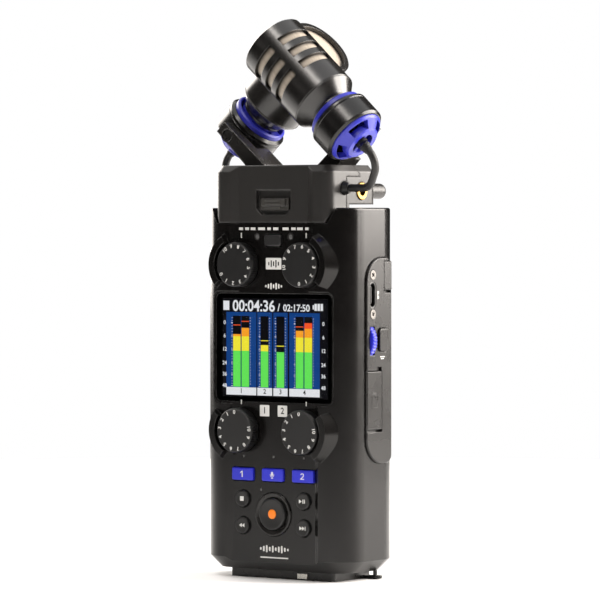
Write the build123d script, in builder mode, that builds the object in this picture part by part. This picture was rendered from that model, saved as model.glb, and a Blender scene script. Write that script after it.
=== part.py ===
from build123d import *
from math import cos, radians, sin
import os

# Portable field recorder, in millimetres.
# +Z is up, +X is the user's right and the screen faces -Y.
# The origin is the middle of the flat foot that the recorder stands on.

# ---------------------------------------------------------------- driving sizes
# Case
case_width = 69.0
case_depth = 36.8
case_bottom = 3.3
case_top = 138.7
front_corner = 11.5
rear_corner = 13.0
wall = 2.0
bottom_bevel = 4.5
void_corner = 6.0
seam_y = 6.3
seam_gap = 0.2
front_y = -case_depth / 2
rear_y = case_depth / 2
side_x = case_width / 2

# Recessed control face down the middle of the front
recess_depth = 1.6
panel_y = front_y + recess_depth
front_wall = 1.8
inner_front_y = panel_y + front_wall
upper_flat = 16.1
lower_flat = 19.2
upper_slope = 3.2
lower_slope = 2.5
upper_channel_bottom = 105.0
lower_channel_top = 67.0

# Notch in the top of the case, where the microphone capsule's skirt sits
notch_floor = 132.9
notch_half_floor = 25.6
notch_half_top = 28.8
notch_back_y = -5.0

# Screen
screen_half = 26.8
screen_low = 66.3
screen_high = 106.6
screen_corner = 2.0
glass_thickness = 1.0
display_width = 48.8
display_height = 36.6
display_middle_z = (screen_low + screen_high) / 2

# Gain knobs, with the guard that stands outboard of each
knob_radius = 8.45
knob_face_y = panel_y - 4.7
knob_gap = 0.3
stem_radius = 3.0
stem_end_y = -6.5
well_radius = 9.4
guard_top_radius = 12.0
guard_root_radius = 15.1
guard_root_y = front_y + 3.2
upper_knob_z = 117.5
lower_knob_z = 55.4
knobs = {
    "knob_upper_left": (-15.1, upper_knob_z),
    "knob_upper_right": (15.1, upper_knob_z),
    "knob_lower_left": (-15.0, lower_knob_z),
    "knob_lower_right": (15.0, lower_knob_z),
}
guard_sweeps = {
    "knob_upper_left": (120.0, 100.0),
    "knob_upper_right": (-40.0, 100.0),
    "knob_lower_left": (145.0, 90.0),
    "knob_lower_right": (-55.0, 90.0),
}

# Keys: a cap through the front wall, with a flange behind it
key_gap = 0.25
key_flange = 0.9
key_flange_thickness = 0.8
bar_key = (9.95, 4.8)
bar_key_z = 39.1
bar_keys = {"track_button_1": -14.0, "track_button_mic": 0.0, "track_button_2": 14.0}
bar_key_height = 1.0
round_key_radius = 3.1
round_key_height = 1.2
round_keys = {
    "stop_button": (-14.1, 29.8),
    "play_button": (14.1, 29.8),
    "rewind_button": (-14.1, 19.8),
    "forward_button": (14.1, 19.8),
}
record_key_radius = 5.95
record_key_height = 1.4
record_key_place = (0.0, 24.5)
record_ring_radius = 8.25
record_ring_height = 0.7
mode_key = (8.0, 4.4)
mode_key_place = (0.0, 126.5)
mode_key_height = 0.9

# Lamps on the control face: place and radius
lamps = [
    ((-7.7, 127.9), 1.2),
    ((7.9, 127.9), 1.2),
    ((-14.0, 45.8), 0.6),
    ((0.0, 45.8), 0.6),
    ((14.0, 45.8), 0.6),
    ((-5.9, 33.4), 0.7),
]

# Boards and pots
board_front_y = -12.4
board_thickness = 1.6
board_half_width = 29.0
board_low = 12.0
board_high = 129.0
pot_radius = 5.5
pot_back_y = -4.5

# Connector panel in the right side
panel_face_x = side_x + 0.9
panel_front_y = -6.5
panel_rear_y = 9.5
panel_low = 43.8
panel_high = 120.3
panel_corner = 9.5
panel_rear_corner = 3.0
panel_inner_x = side_x - wall

# Thumb wheels
wheel_thickness = 2.6
wheel_gap = 0.3
wheel_pin_radius = 1.2
running_gap = 0.05
lug_thickness = 1.0
lug_half_height = 2.5
dial_radius = 8.0
dial_x = 29.0
dial_y = -3.0
dial_z = 89.35
volume_radius = 7.5
volume_x = -28.4
volume_y = -3.0
volume_z = 84.0

# Side button, covers and sockets
side_key = (5.3, 8.4)
side_key_place = (3.3, 89.7)
side_key_height = 0.9
side_key_flange = 0.5
usb_place = (-2.7, 106.35)
usb_height = 8.94
usb_width = 3.26
panel_screw_levels = (99.2, 113.8)
panel_screw_radius = 1.85
cover_thickness = 1.3
cover_gap = 0.2
cover_pin_radius = 0.4
card_cover_box = (-6.0, 3.0, 56.3, 78.2)
port_cover_box = (4.6, 9.2, 108.0, 119.0)
audio_levels = {"phones": 62.0, "line_out": 50.0}
audio_y = -3.0
audio_bush_radius = 3.0
audio_bore_radius = 1.8
audio_depth = 12.0
switch_y = -1.0
switch_low = 101.0
switch_travel = 4.0

# Foot: the housing of the two input sockets
foot_width = 48.0
foot_depth = 24.0
foot_corner = 1.5
housing_front_y = -10.5
housing_high = 30.0
input_x = 12.3
input_y = 0.6
input_radius = 9.6
input_core_radius = 7.6
input_core_low = 1.0
input_base_low = 16.0
input_high = 28.0
jack_bore_radius = 3.25
jack_bore_high = 27.0
pole_radius = 1.25
pole_circle = 5.4
tab_width = 4.6
tab_low = 0.5
tab_high = 2.4
tab_gap = 0.2
tab_x = 10.0

# Rear
cover_low = 40.0
cover_high = 114.0
cover_half = 29.0
cover_wall = 1.8
hook_places = (-12.0, 12.0)
hook_length = 6.0
hook_radius = 0.8
cell_radius = 7.1
cell_pitch = 14.6
cell_low = 51.5
cell_length = 50.2
cell_y = 9.2
bay_floor_y = 0.6
bay_low = 46.6
bay_high = 106.6
bay_wall = 1.4
speaker_radius = 6.5
speaker_z = 124.0
tripod_z = 26.0
tripod_radius = 6.0
tripod_bore_radius = 3.2
case_screw_places = [(-18.0, 12.0), (18.0, 12.0), (-18.0, 132.0), (18.0, 132.0)]

# Microphone capsule base
base_half = 27.0
base_front_y = front_y - 0.2
base_rear_y = 12.0
base_corner = 4.0
base_low = 140.0
base_high = 154.6
base_bevel = 2.5
skirt_low = 133.2
skirt_half = 24.5
skirt_back_y = -6.0
base_wall = 1.6
base_channel_y = base_front_y + recess_depth
base_seam_y = -7.8
base_seam_z = 150.3
base_top_seam_y = 0.7
latch_z = 140.7
latch_recess = (16.0, 9.2)
latch_recess_y = -15.2
plug_half = 10.0
plug_front_y = -0.9
plug_rear_y = 3.9
plug_low = 131.5
peg_radius = 2.9
peg_x = 22.0
peg_z = 145.0
peg_end_y = 21.5
input_bush_y = 1.7
input_bush_z = 144.9
input_bush_radius = 3.3
grommet_y = -9.0
grommet_z = 146.0
grommet_radius = 2.6
grommet_end_x = 28.8

# Microphones: distances along each one's axis, counted from its open end
mic_tilt = 47.5
mic_reach = 1.9
mic_centre_y = -1.6
mic_side = 12.95
mic_top = 199.7
head_radius = 12.78
head_length = 32.4
head_seam = 31.5
head_wall = 1.2
cone_end = 37.0
cone_radius = 8.5
neck_radius = 7.0
neck_start = 38.0
neck_end = 50.0
holder_radius = 12.2
holder_inner = 10.9
holder_start = 40.6
holder_end = 51.5
hub_front = 38.5
hub_end = 55.7
gland_end = 57.2
pivot_at = 46.3
pivot_drop = 3.0
pivot_radius = 1.5
pivot_reach = 2.0
slot_rows = (6.2, 12.6, 19.0)
slot_width = 3.7
slot_count = 4
slot_sweep = 74.0
slot_turn = 17.0

# Arms
arm_gap = 0.35
arm_thick = 4.75
arm_outline = ((-35.05, 167.9), (-31.3, 171.2), (-12.2, base_high), (-21.2, base_high))
arm_foot_y = 6.0
arm_foot_clear = 11.3
screw_head_radius = 2.1
screw_seat_depth = 1.2

# Leads
lead_radius = 1.45
lead_bend = 6.2
lead_turn = 8.0
lead_low_x = 38.4

os.makedirs("parts", exist_ok=True)


# ---------------------------------------------------------------- shared helpers
def save(part, name):
    """Label a finished piece and write it as parts/<name>.step."""
    part.label = name
    export_step(part, f"parts/{name}.step")


def facing_front(y):
    """Plane at this Y that faces the user: local x is X, local y is Z."""
    return Plane.XZ.offset(-y)


def facing_back(y):
    """Plane at this Y that faces away from the user: local x is -X, local y is Z."""
    return Plane(origin=(0, y, 0), x_dir=(-1, 0, 0), z_dir=(0, 1, 0))


def facing_right(x):
    """Plane at this X that faces +X: local x is Y, local y is Z."""
    return Plane.YZ.offset(x)


def polar(radius, angle):
    return (radius * cos(radians(angle)), radius * sin(radians(angle)))


def ring_sector(inner, outer, start, sweep):
    """Part of a flat ring, from one angle round to another."""
    with BuildSketch(mode=Mode.PRIVATE) as sector:
        with BuildLine():
            CenterArc((0, 0), outer, start, sweep)
            CenterArc((0, 0), inner, start, sweep)
            Line(polar(inner, start), polar(outer, start))
            Line(polar(inner, start + sweep), polar(outer, start + sweep))
        make_face()
    return sector.sketch


def case_plan(level, inset=0.0):
    """Plan of the case: a rectangle with softer corners at the rear."""
    with BuildSketch(Plane.XY.offset(level), mode=Mode.PRIVATE) as plan:
        Rectangle(case_width - 2 * inset, case_depth - 2 * inset)
        fillet(plan.vertices().group_by(Axis.Y)[0], front_corner - inset)
        fillet(plan.vertices().group_by(Axis.Y)[-1], rear_corner - inset)
    return plan.sketch


def channel(level, flat, slope, floor_y):
    """Section of the shallow channel in the front, open towards the user."""
    lift = 1.5 * recess_depth
    edge = flat + 1.5 * slope
    with BuildSketch(Plane.XY.offset(level), mode=Mode.PRIVATE) as section:
        Polygon(
            (-flat, floor_y), (flat, floor_y), (edge, floor_y - lift), (-edge, floor_y - lift),
            align=None,
        )
    return section.sketch


def panel_outline(x, inset=0.0):
    """Outline of the connector panel, with large corners towards the front."""
    with BuildSketch(facing_right(x), mode=Mode.PRIVATE) as outline:
        with Locations(((panel_front_y + panel_rear_y) / 2, (panel_low + panel_high) / 2)):
            Rectangle(panel_rear_y - panel_front_y - 2 * inset, panel_high - panel_low - 2 * inset)
        fillet(outline.vertices().group_by(Axis.X)[0], panel_corner - inset)
        fillet(outline.vertices().group_by(Axis.X)[-1], panel_rear_corner - inset)
    return outline.sketch


def knob_guard(place, start, sweep):
    """Crescent that stands beside a knob and flares back into the case."""
    x, z = place
    with BuildPart(mode=Mode.PRIVATE) as guard:
        with BuildSketch(facing_front(guard_root_y)):
            with Locations((x, z)):
                Circle(guard_root_radius)
        with BuildSketch(facing_front(knob_face_y)):
            with Locations((x, z)):
                Circle(guard_top_radius)
        loft()
        with BuildSketch(facing_front(guard_root_y)):
            with Locations((x, z)):
                add(ring_sector(well_radius, 2 * guard_root_radius, start, sweep))
        extrude(amount=guard_root_y - knob_face_y, mode=Mode.INTERSECT)
    return guard.part


def bearing_lugs(wheel_x, wheel_y, wheel_z, root_x):
    """Two lugs that carry a thumb wheel's pins, reaching in from a side wall."""
    with BuildPart(mode=Mode.PRIVATE) as lugs:
        near = wheel_thickness / 2 + 0.4
        for y in (wheel_y - near - lug_thickness, wheel_y + near):
            with BuildSketch(facing_back(y)):
                with Locations((-(wheel_x + root_x) / 2, wheel_z)):
                    Rectangle(abs(root_x - wheel_x), 2 * lug_half_height)
                with Locations((-wheel_x, wheel_z)):
                    Circle(lug_half_height)
                    Circle(wheel_pin_radius + running_gap, mode=Mode.SUBTRACT)
            extrude(amount=lug_thickness)
    return lugs.part


def thumb_wheel(wheel_x, wheel_y, wheel_z, radius):
    """Wheel on its own stub pins, turning about Y, with a ribbed rim."""
    reach = wheel_thickness / 2 + 0.4 + lug_thickness
    with BuildPart() as wheel:
        with BuildSketch(facing_back(wheel_y - wheel_thickness / 2)):
            with Locations((-wheel_x, wheel_z)):
                Circle(radius)
        extrude(amount=wheel_thickness)
        chamfer(wheel.edges().filter_by(GeomType.CIRCLE), 0.35)
        with BuildSketch(facing_back(wheel_y - reach)):
            with Locations((-wheel_x, wheel_z)):
                Circle(wheel_pin_radius)
        extrude(amount=2 * reach)
    return wheel.part


def wheel_relief(wheel_x, wheel_y, wheel_z, radius):
    """Space that a thumb wheel turns in."""
    with BuildPart(mode=Mode.PRIVATE) as relief:
        with BuildSketch(facing_back(wheel_y - wheel_thickness / 2 - 0.2)):
            with Locations((-wheel_x, wheel_z)):
                Circle(radius + wheel_gap)
        extrude(amount=wheel_thickness + 0.4)
    return relief.part


# ---------------------------------------------------------------- case halves
with BuildPart() as case_void:
    with BuildSketch(Plane.XY.offset(case_bottom + wall)) as void_plan:
        with Locations((0, (inner_front_y + rear_y - wall) / 2)):
            Rectangle(case_width - 2 * wall, rear_y - wall - inner_front_y)
        fillet(void_plan.vertices().group_by(Axis.Y)[0], void_corner)
        fillet(void_plan.vertices().group_by(Axis.Y)[-1], rear_corner - wall)
    extrude(amount=case_top - case_bottom - 2 * wall)
    chamfer(case_void.edges().group_by(Axis.Z)[0], bottom_bevel - 1.0)
    # The roof steps down under the notch.
    with BuildSketch(Plane.XY.offset(notch_floor - wall)):
        with Locations((0, notch_back_y + wall)):
            Rectangle(case_width, case_depth, align=(Align.CENTER, Align.MAX))
    extrude(amount=case_top - notch_floor + wall, mode=Mode.SUBTRACT)

with BuildPart() as whole_case:
    extrude(case_plan(case_bottom), amount=case_top - case_bottom)
    chamfer(whole_case.edges().group_by(Axis.Z)[0], bottom_bevel)
    fillet(whole_case.edges().group_by(Axis.Z)[-1], 0.8)
    add(case_void.part, mode=Mode.SUBTRACT)
    # Opening in the underside for the foot.
    with BuildSketch(Plane.XY.offset(case_bottom)):
        Rectangle(foot_width + 0.2, foot_depth + 0.2)
    extrude(amount=wall, mode=Mode.SUBTRACT)
    # Window in the right side for the connector panel.
    extrude(panel_outline(panel_inner_x - 1.0, -0.1), amount=5, mode=Mode.SUBTRACT)

with BuildPart() as front_case:
    add(whole_case.part)
    split(bisect_by=facing_front(seam_y), keep=Keep.TOP)
    # Notch for the capsule's skirt.
    with BuildSketch(facing_front(notch_back_y)):
        rise = case_top - notch_floor
        spread = notch_half_top - notch_half_floor
        Polygon(
            (-notch_half_floor, notch_floor),
            (notch_half_floor, notch_floor),
            (notch_half_floor + 1.5 * spread, notch_floor + 1.5 * rise),
            (-notch_half_floor - 1.5 * spread, notch_floor + 1.5 * rise),
            align=None,
        )
    extrude(amount=case_depth, mode=Mode.SUBTRACT)
    # Shallow channels above and below the screen, and the screen's own panel.
    extrude(
        channel(upper_channel_bottom, upper_flat, upper_slope, panel_y),
        amount=case_top - upper_channel_bottom,
        mode=Mode.SUBTRACT,
    )
    extrude(
        channel(case_bottom - 1, lower_flat, lower_slope, panel_y),
        amount=lower_channel_top - case_bottom + 1,
        mode=Mode.SUBTRACT,
    )
    with BuildSketch(facing_front(panel_y)):
        with Locations((0, display_middle_z)):
            RectangleRounded(2 * screen_half + 2, screen_high - screen_low + 1.8, screen_corner + 0.8)
        with Locations(*knobs.values()):
            Circle(well_radius)
    extrude(amount=recess_depth + 1, mode=Mode.SUBTRACT)
    for knob_name, knob_place in knobs.items():
        add(knob_guard(knob_place, *guard_sweeps[knob_name]))
    # Seat for the glass and the opening over the display.
    with BuildSketch(facing_front(panel_y + glass_thickness)):
        with Locations((0, display_middle_z)):
            RectangleRounded(2 * screen_half + 0.2, screen_high - screen_low + 0.2, screen_corner + 0.1)
    extrude(amount=glass_thickness, mode=Mode.SUBTRACT)
    with BuildSketch(facing_front(inner_front_y)):
        with Locations((0, display_middle_z)):
            Rectangle(display_width + 0.6, display_height + 0.6)
    extrude(amount=front_wall, mode=Mode.SUBTRACT)
    # Holes for keys, knob stems and lamps.
    with BuildSketch(facing_front(inner_front_y)):
        with Locations(*[(x, bar_key_z) for x in bar_keys.values()]):
            RectangleRounded(bar_key[0] + 2 * key_gap, bar_key[1] + 2 * key_gap, 0.8)
        with Locations(mode_key_place):
            RectangleRounded(mode_key[0] + 2 * key_gap, mode_key[1] + 2 * key_gap, 1.2)
        with Locations(*round_keys.values()):
            Circle(round_key_radius + key_gap)
        with Locations(record_key_place):
            Circle(record_key_radius + key_gap)
        with Locations(*knobs.values()):
            Circle(stem_radius + key_gap)
        for lamp_place, lamp_radius in lamps:
            with Locations(lamp_place):
                Circle(lamp_radius + 0.05)
    extrude(amount=front_wall, mode=Mode.SUBTRACT)
    # Groove for the ring round the record key.
    with BuildSketch(facing_front(panel_y + 0.8)):
        with Locations(record_key_place):
            Circle(record_ring_radius + 0.05)
            Circle(record_key_radius + key_gap, mode=Mode.SUBTRACT)
    extrude(amount=0.8, mode=Mode.SUBTRACT)
    # Left side: volume wheel, power switch and two sockets.
    add(wheel_relief(volume_x, volume_y, volume_z, volume_radius), mode=Mode.SUBTRACT)
    add(bearing_lugs(volume_x, volume_y, volume_z, -side_x + wall))
    with BuildSketch(facing_right(-side_x - 1)):
        with Locations((switch_y, switch_low + switch_travel / 2)):
            Rectangle(2.6, 3.6 + switch_travel)
        with Locations(*[(audio_y, z) for z in audio_levels.values()]):
            Circle(audio_bush_radius + 0.05)
    extrude(amount=wall + 1.5, mode=Mode.SUBTRACT)
    # Opening in the roof for the capsule's socket.
    with BuildSketch(Plane.XY.offset(case_top - wall)):
        with Locations((0, (plug_front_y + plug_rear_y) / 2)):
            Rectangle(2 * plug_half + 4.2, plug_rear_y - plug_front_y + 3.2)
    extrude(amount=wall, mode=Mode.SUBTRACT)
save(front_case.part, "front_case")

with BuildPart() as rear_case:
    add(whole_case.part)
    split(bisect_by=facing_front(seam_y + seam_gap), keep=Keep.BOTTOM)
    # Bay for the cells: a floor behind them and a shelf at each end.
    with BuildSketch(facing_back(bay_floor_y)):
        with Locations((0, (bay_low + bay_high) / 2)):
            Rectangle(2 * (side_x - wall) - 3.0, bay_high - bay_low + 2 * bay_wall)
    extrude(amount=bay_wall)
    for shelf_z in (bay_low - bay_wall, bay_high):
        with BuildSketch(Plane.XY.offset(shelf_z)):
            with Locations((0, bay_floor_y)):
                Rectangle(2 * (side_x - wall) - 3.0, 7.0, align=(Align.CENTER, Align.MIN))
            with Locations((0, bay_floor_y + 6.0)):
                Rectangle(2 * cover_half - 8.0, 9.2, align=(Align.CENTER, Align.MIN))
            with Locations((0, seam_y + seam_gap)):
                Rectangle(2 * (side_x - wall), 1.1, align=(Align.CENTER, Align.MIN))
        extrude(amount=bay_wall)
    # Opening that the cover closes.
    with BuildSketch(facing_back(rear_corner - 2.0)):
        with Locations((0, (cover_low + cover_high) / 2)):
            Rectangle(2 * cover_half + 0.5, cover_high - cover_low + 0.5)
    extrude(amount=rear_y, mode=Mode.SUBTRACT)
    # Seats for the two lips that the cover turns on.
    for hook_x in hook_places:
        with BuildSketch(facing_right(hook_x - hook_length / 2 - 0.3)):
            with Locations((rear_y, cover_low)):
                Circle(hook_radius + 0.2)
        extrude(amount=hook_length + 0.6, mode=Mode.SUBTRACT)
    # Shelves again inside the opening, to hold the cells' ends.
    for shelf_z in (bay_low - bay_wall, bay_high):
        with BuildSketch(Plane.XY.offset(shelf_z)):
            with Locations((0, bay_floor_y)):
                Rectangle(2 * cover_half - 8.0, 15.4, align=(Align.CENTER, Align.MIN))
        extrude(amount=bay_wall)
    # Sound slots, the tripod bush's hole and the counterbored screw holes.
    with BuildSketch(facing_back(rear_y - wall - 0.1)):
        with Locations((0, speaker_z)):
            with GridLocations(0, 2.0, 1, 5):
                SlotOverall(9.0, 1.0)
        with Locations((0, tripod_z)):
            Circle(tripod_radius + 0.05)
    extrude(amount=wall + 1, mode=Mode.SUBTRACT)
    with BuildSketch(facing_back(rear_y - wall - 0.1)):
        with Locations(*case_screw_places):
            Circle(1.1)
    extrude(amount=wall + 1, mode=Mode.SUBTRACT)
    with BuildSketch(facing_back(rear_y - 1.2)):
        with Locations(*case_screw_places):
            Circle(2.3)
    extrude(amount=wall, mode=Mode.SUBTRACT)
save(rear_case.part, "rear_case")

with BuildPart() as battery_cover:
    extrude(case_plan(cover_low), amount=cover_high - cover_low)
    extrude(case_plan(cover_low, cover_wall), amount=cover_high - cover_low, mode=Mode.SUBTRACT)
    with BuildSketch(facing_back(rear_corner - 2.0)):
        with Locations((0, (cover_low + cover_high) / 2)):
            Rectangle(2 * cover_half, cover_high - cover_low)
    extrude(amount=rear_y, mode=Mode.INTERSECT)
    # Thumb recess at the top and the rounded lip that the cover turns on.
    with BuildSketch(facing_back(rear_y - 0.8)):
        with Locations((0, cover_high - 6.0)):
            SlotOverall(16.0, 5.0)
    extrude(amount=1.0, mode=Mode.SUBTRACT)
    for hook_x in hook_places:
        with BuildSketch(facing_right(hook_x - hook_length / 2)):
            with Locations((rear_y, cover_low)):
                Circle(hook_radius)
        extrude(amount=hook_length)
save(battery_cover.part, "battery_cover")


# ---------------------------------------------------------------- foot and input sockets
with BuildPart() as jack_housing:
    with BuildSketch():
        RectangleRounded(foot_width, foot_depth, foot_corner)
    extrude(amount=case_bottom + wall)
    with BuildSketch(Plane.XY.offset(case_bottom + wall)):
        with Locations((0, (housing_front_y + foot_depth / 2) / 2)):
            RectangleRounded(foot_width, foot_depth / 2 - housing_front_y, foot_corner)
    extrude(amount=housing_high - case_bottom - wall)
    # Eyelet for a strap at the rear right corner.
    with BuildSketch(Plane.XY.offset(0.3)):
        with Locations((foot_width / 2 + 2.6, 8.6)):
            SlotOverall(9.2, 3.6)
    extrude(amount=1.0)
    with BuildSketch():
        with Locations((foot_width / 2 + 4.4, 8.6)):
            Circle(0.8)
    extrude(amount=case_bottom)
    for input_side in (-1, 1):
        with BuildSketch():
            with Locations((input_side * input_x, input_y)):
                Circle(input_radius)
        extrude(amount=input_high, mode=Mode.SUBTRACT)
        # Pocket for the release tab.
        with BuildSketch(Plane.XY.offset(tab_low - tab_gap)):
            with Locations((input_side * tab_x, -input_side * (foot_depth / 2 - 1.1))):
                Rectangle(tab_width + 2 * tab_gap, 2.2)
        extrude(amount=tab_high - tab_low + 2 * tab_gap, mode=Mode.SUBTRACT)
save(jack_housing.part, "jack_housing")

with BuildPart() as input_jacks:
    for input_side in (-1, 1):
        with BuildSketch(Plane.XY.offset(input_core_low)):
            with Locations((input_side * input_x, input_y)):
                Circle(input_core_radius)
        extrude(amount=input_base_low - input_core_low)
        with BuildSketch(Plane.XY.offset(input_base_low)):
            with Locations((input_side * input_x, input_y)):
                Circle(input_radius)
        extrude(amount=input_high - input_base_low)
        with BuildSketch(Plane.XY.offset(input_core_low)):
            with Locations((input_side * input_x, input_y)):
                Circle(jack_bore_radius)
        extrude(amount=jack_bore_high - input_core_low, mode=Mode.SUBTRACT)
        with BuildSketch(Plane.XY.offset(input_core_low)):
            with Locations((input_side * input_x, input_y)):
                with PolarLocations(pole_circle, 3, start_angle=-90 * input_side):
                    Circle(pole_radius)
        extrude(amount=13.0, mode=Mode.SUBTRACT)
save(input_jacks.part, "input_jacks")

for tab_name, input_side in (("release_tab_1", 1), ("release_tab_2", -1)):
    with BuildPart() as release_tab:
        with BuildSketch(Plane.XY.offset(tab_low)):
            with Locations((input_side * tab_x, -input_side * (foot_depth / 2 - 0.25))):
                RectangleRounded(tab_width, 1.7, 0.3)
        extrude(amount=tab_high - tab_low)
    save(release_tab.part, tab_name)

# ---------------------------------------------------------------- screen, lamps, boards
with BuildPart() as screen_window:
    with BuildSketch(facing_front(panel_y + glass_thickness)):
        with Locations((0, display_middle_z)):
            RectangleRounded(2 * screen_half, screen_high - screen_low, screen_corner)
    extrude(amount=glass_thickness)
    chamfer(screen_window.faces().sort_by(Axis.Y)[0].edges(), 0.3)
save(screen_window.part, "screen_window")

with BuildPart() as display_panel:
    with BuildSketch(facing_front(board_front_y)):
        with Locations((0, display_middle_z)):
            RectangleRounded(display_width + 3.0, display_height + 3.6, 0.6)
    extrude(amount=board_front_y - inner_front_y)
    with BuildSketch(facing_front(inner_front_y)):
        with Locations((0, display_middle_z)):
            Rectangle(display_width, display_height)
    extrude(amount=0.7)
save(display_panel.part, "display_panel")

with BuildPart() as indicator_lamps:
    for lamp_place, lamp_radius in lamps:
        with BuildSketch(facing_front(board_front_y)):
            with Locations(lamp_place):
                Circle(lamp_radius)
        extrude(amount=board_front_y - panel_y + 0.1)
save(indicator_lamps.part, "indicator_lamps")

with BuildPart() as main_board:
    with BuildSketch(facing_front(board_front_y + board_thickness)):
        with Locations((0, (board_low + board_high) / 2)):
            RectangleRounded(2 * board_half_width, board_high - board_low, 1.0)
        with Locations(*knobs.values()):
            Circle(stem_radius + key_gap, mode=Mode.SUBTRACT)
    extrude(amount=board_thickness)
    # Dome switches under the keys.
    with BuildSketch(facing_front(board_front_y)):
        with Locations(*[(x, bar_key_z) for x in bar_keys.values()]):
            Circle(2.0)
        with Locations(*round_keys.values(), record_key_place, mode_key_place):
            Circle(2.0)
    extrude(amount=0.6)
save(main_board.part, "main_board")

with BuildPart() as gain_pots:
    for knob_place in knobs.values():
        with BuildSketch(facing_front(pot_back_y)):
            with Locations(knob_place):
                Circle(pot_radius)
        extrude(amount=pot_back_y - board_front_y - board_thickness)
        with BuildSketch(facing_front(stem_end_y + 0.3)):
            with Locations(knob_place):
                Circle(stem_radius + running_gap)
        extrude(amount=stem_end_y + 0.3 - board_front_y, mode=Mode.SUBTRACT)
save(gain_pots.part, "gain_pots")

with BuildPart() as record_ring:
    with BuildSketch(facing_front(panel_y + 0.8)):
        with Locations(record_key_place):
            Circle(record_ring_radius)
            Circle(record_key_radius + key_gap, mode=Mode.SUBTRACT)
    extrude(amount=0.8 + record_ring_height)
    chamfer(record_ring.faces().sort_by(Axis.Y)[0].edges(), 0.3)
save(record_ring.part, "record_ring")

# ---------------------------------------------------------------- knobs and front keys
for knob_name, knob_place in knobs.items():
    with BuildPart() as knob:
        with BuildSketch(facing_front(panel_y - knob_gap)):
            with Locations(knob_place):
                Circle(knob_radius)
        extrude(amount=panel_y - knob_gap - knob_face_y)
        chamfer(knob.faces().sort_by(Axis.Y)[0].edges(), 0.5)
        with BuildSketch(facing_front(stem_end_y)):
            with Locations(knob_place):
                Circle(stem_radius)
        extrude(amount=stem_end_y - panel_y + knob_gap)
    save(knob.part, knob_name)


def key(place, cap, flange, height):
    """Key with its cap through the front wall and a flange that keeps it in."""
    back_y = inner_front_y + key_gap
    with BuildPart() as body:
        with BuildSketch(facing_front(back_y)):
            with Locations(place):
                add(cap)
        extrude(amount=back_y - panel_y + height)
        fillet(body.faces().sort_by(Axis.Y)[0].edges(), 0.35)
        with BuildSketch(facing_front(back_y + key_flange_thickness)):
            with Locations(place):
                add(flange)
        extrude(amount=key_flange_thickness)
    return body.part


def bar_sketch(width, height, corner):
    return Sketch() + RectangleRounded(width, height, corner)


bar_cap = bar_sketch(*bar_key, 0.6)
bar_flange = bar_sketch(bar_key[0] + 2 * key_flange, bar_key[1] + 2 * key_flange, 0.6)
for key_name, key_x in bar_keys.items():
    save(key((key_x, bar_key_z), bar_cap, bar_flange, bar_key_height), key_name)

round_cap = Sketch() + Circle(round_key_radius)
round_flange = Sketch() + Circle(round_key_radius + key_flange)
for key_name, key_place in round_keys.items():
    save(key(key_place, round_cap, round_flange, round_key_height), key_name)

record_cap = Sketch() + Circle(record_key_radius)
record_flange = Sketch() + Circle(record_key_radius + key_flange)
save(key(record_key_place, record_cap, record_flange, record_key_height), "record_button")

mode_cap = bar_sketch(*mode_key, 1.0)
mode_flange = bar_sketch(mode_key[0] + 2 * key_flange, mode_key[1] + 2 * key_flange, 1.0)
save(key(mode_key_place, mode_cap, mode_flange, mode_key_height), "mode_button")


# ---------------------------------------------------------------- connector panel, right side
card_middle_y = (card_cover_box[0] + card_cover_box[1]) / 2


def cover_axis(box):
    """Place of a side cover's hinge line, in local panel coordinates (Y, Z)."""
    return (box[0] + box[1]) / 2, box[2] + cover_thickness / 2


with BuildPart() as side_panel:
    extrude(panel_outline(panel_inner_x), amount=panel_face_x - panel_inner_x)
    chamfer(side_panel.faces().sort_by(Axis.X)[-1].edges(), 0.4)
    # Seats for the two covers, each with a finger notch above it.
    for box in (card_cover_box, port_cover_box):
        low_y, high_y, low_z, high_z = box
        with BuildSketch(facing_right(panel_face_x - cover_thickness - cover_gap)):
            with Locations(((low_y + high_y) / 2, (low_z - 0.9 + high_z + cover_gap) / 2)):
                Rectangle(high_y - low_y + 2 * cover_gap, high_z - low_z + 0.9 + cover_gap)
        extrude(amount=5, mode=Mode.SUBTRACT)
        with BuildSketch(facing_right(panel_face_x - 0.9)):
            with Locations((high_y - 1.6, high_z + 0.7)):
                Rectangle(2.8, 1.6)
        extrude(amount=5, mode=Mode.SUBTRACT)
        # Holes for the cover's hinge pins.
        hinge_y, hinge_z = cover_axis(box)
        with BuildSketch(facing_back(low_y - 0.8)):
            with Locations((-(panel_face_x - cover_thickness / 2), hinge_z)):
                Circle(cover_pin_radius + running_gap)
        extrude(amount=high_y - low_y + 1.6, mode=Mode.SUBTRACT)
    # Slots and holes: card, socket, wheel, key and screws.
    with BuildSketch(facing_right(panel_inner_x)):
        with Locations((card_middle_y, 67.5)):
            Rectangle(1.4, 11.6)
        with Locations(usb_place):
            SlotOverall(usb_height + 0.9, usb_width + 0.9, rotation=90)
        with Locations(side_key_place):
            RectangleRounded(side_key[0] + 2 * key_gap, side_key[1] + 2 * key_gap, 1.4)
        with Locations(*[(usb_place[0], z) for z in panel_screw_levels]):
            Circle(0.9)
    extrude(amount=10, mode=Mode.SUBTRACT)
    with BuildSketch(facing_right(panel_face_x - 0.7)):
        with Locations(*[(usb_place[0], z) for z in panel_screw_levels]):
            Circle(panel_screw_radius + 0.05)
    extrude(amount=1, mode=Mode.SUBTRACT)
    add(wheel_relief(dial_x, dial_y, dial_z, dial_radius), mode=Mode.SUBTRACT)
    add(bearing_lugs(dial_x, dial_y, dial_z, panel_inner_x))
save(side_panel.part, "side_panel")

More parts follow.
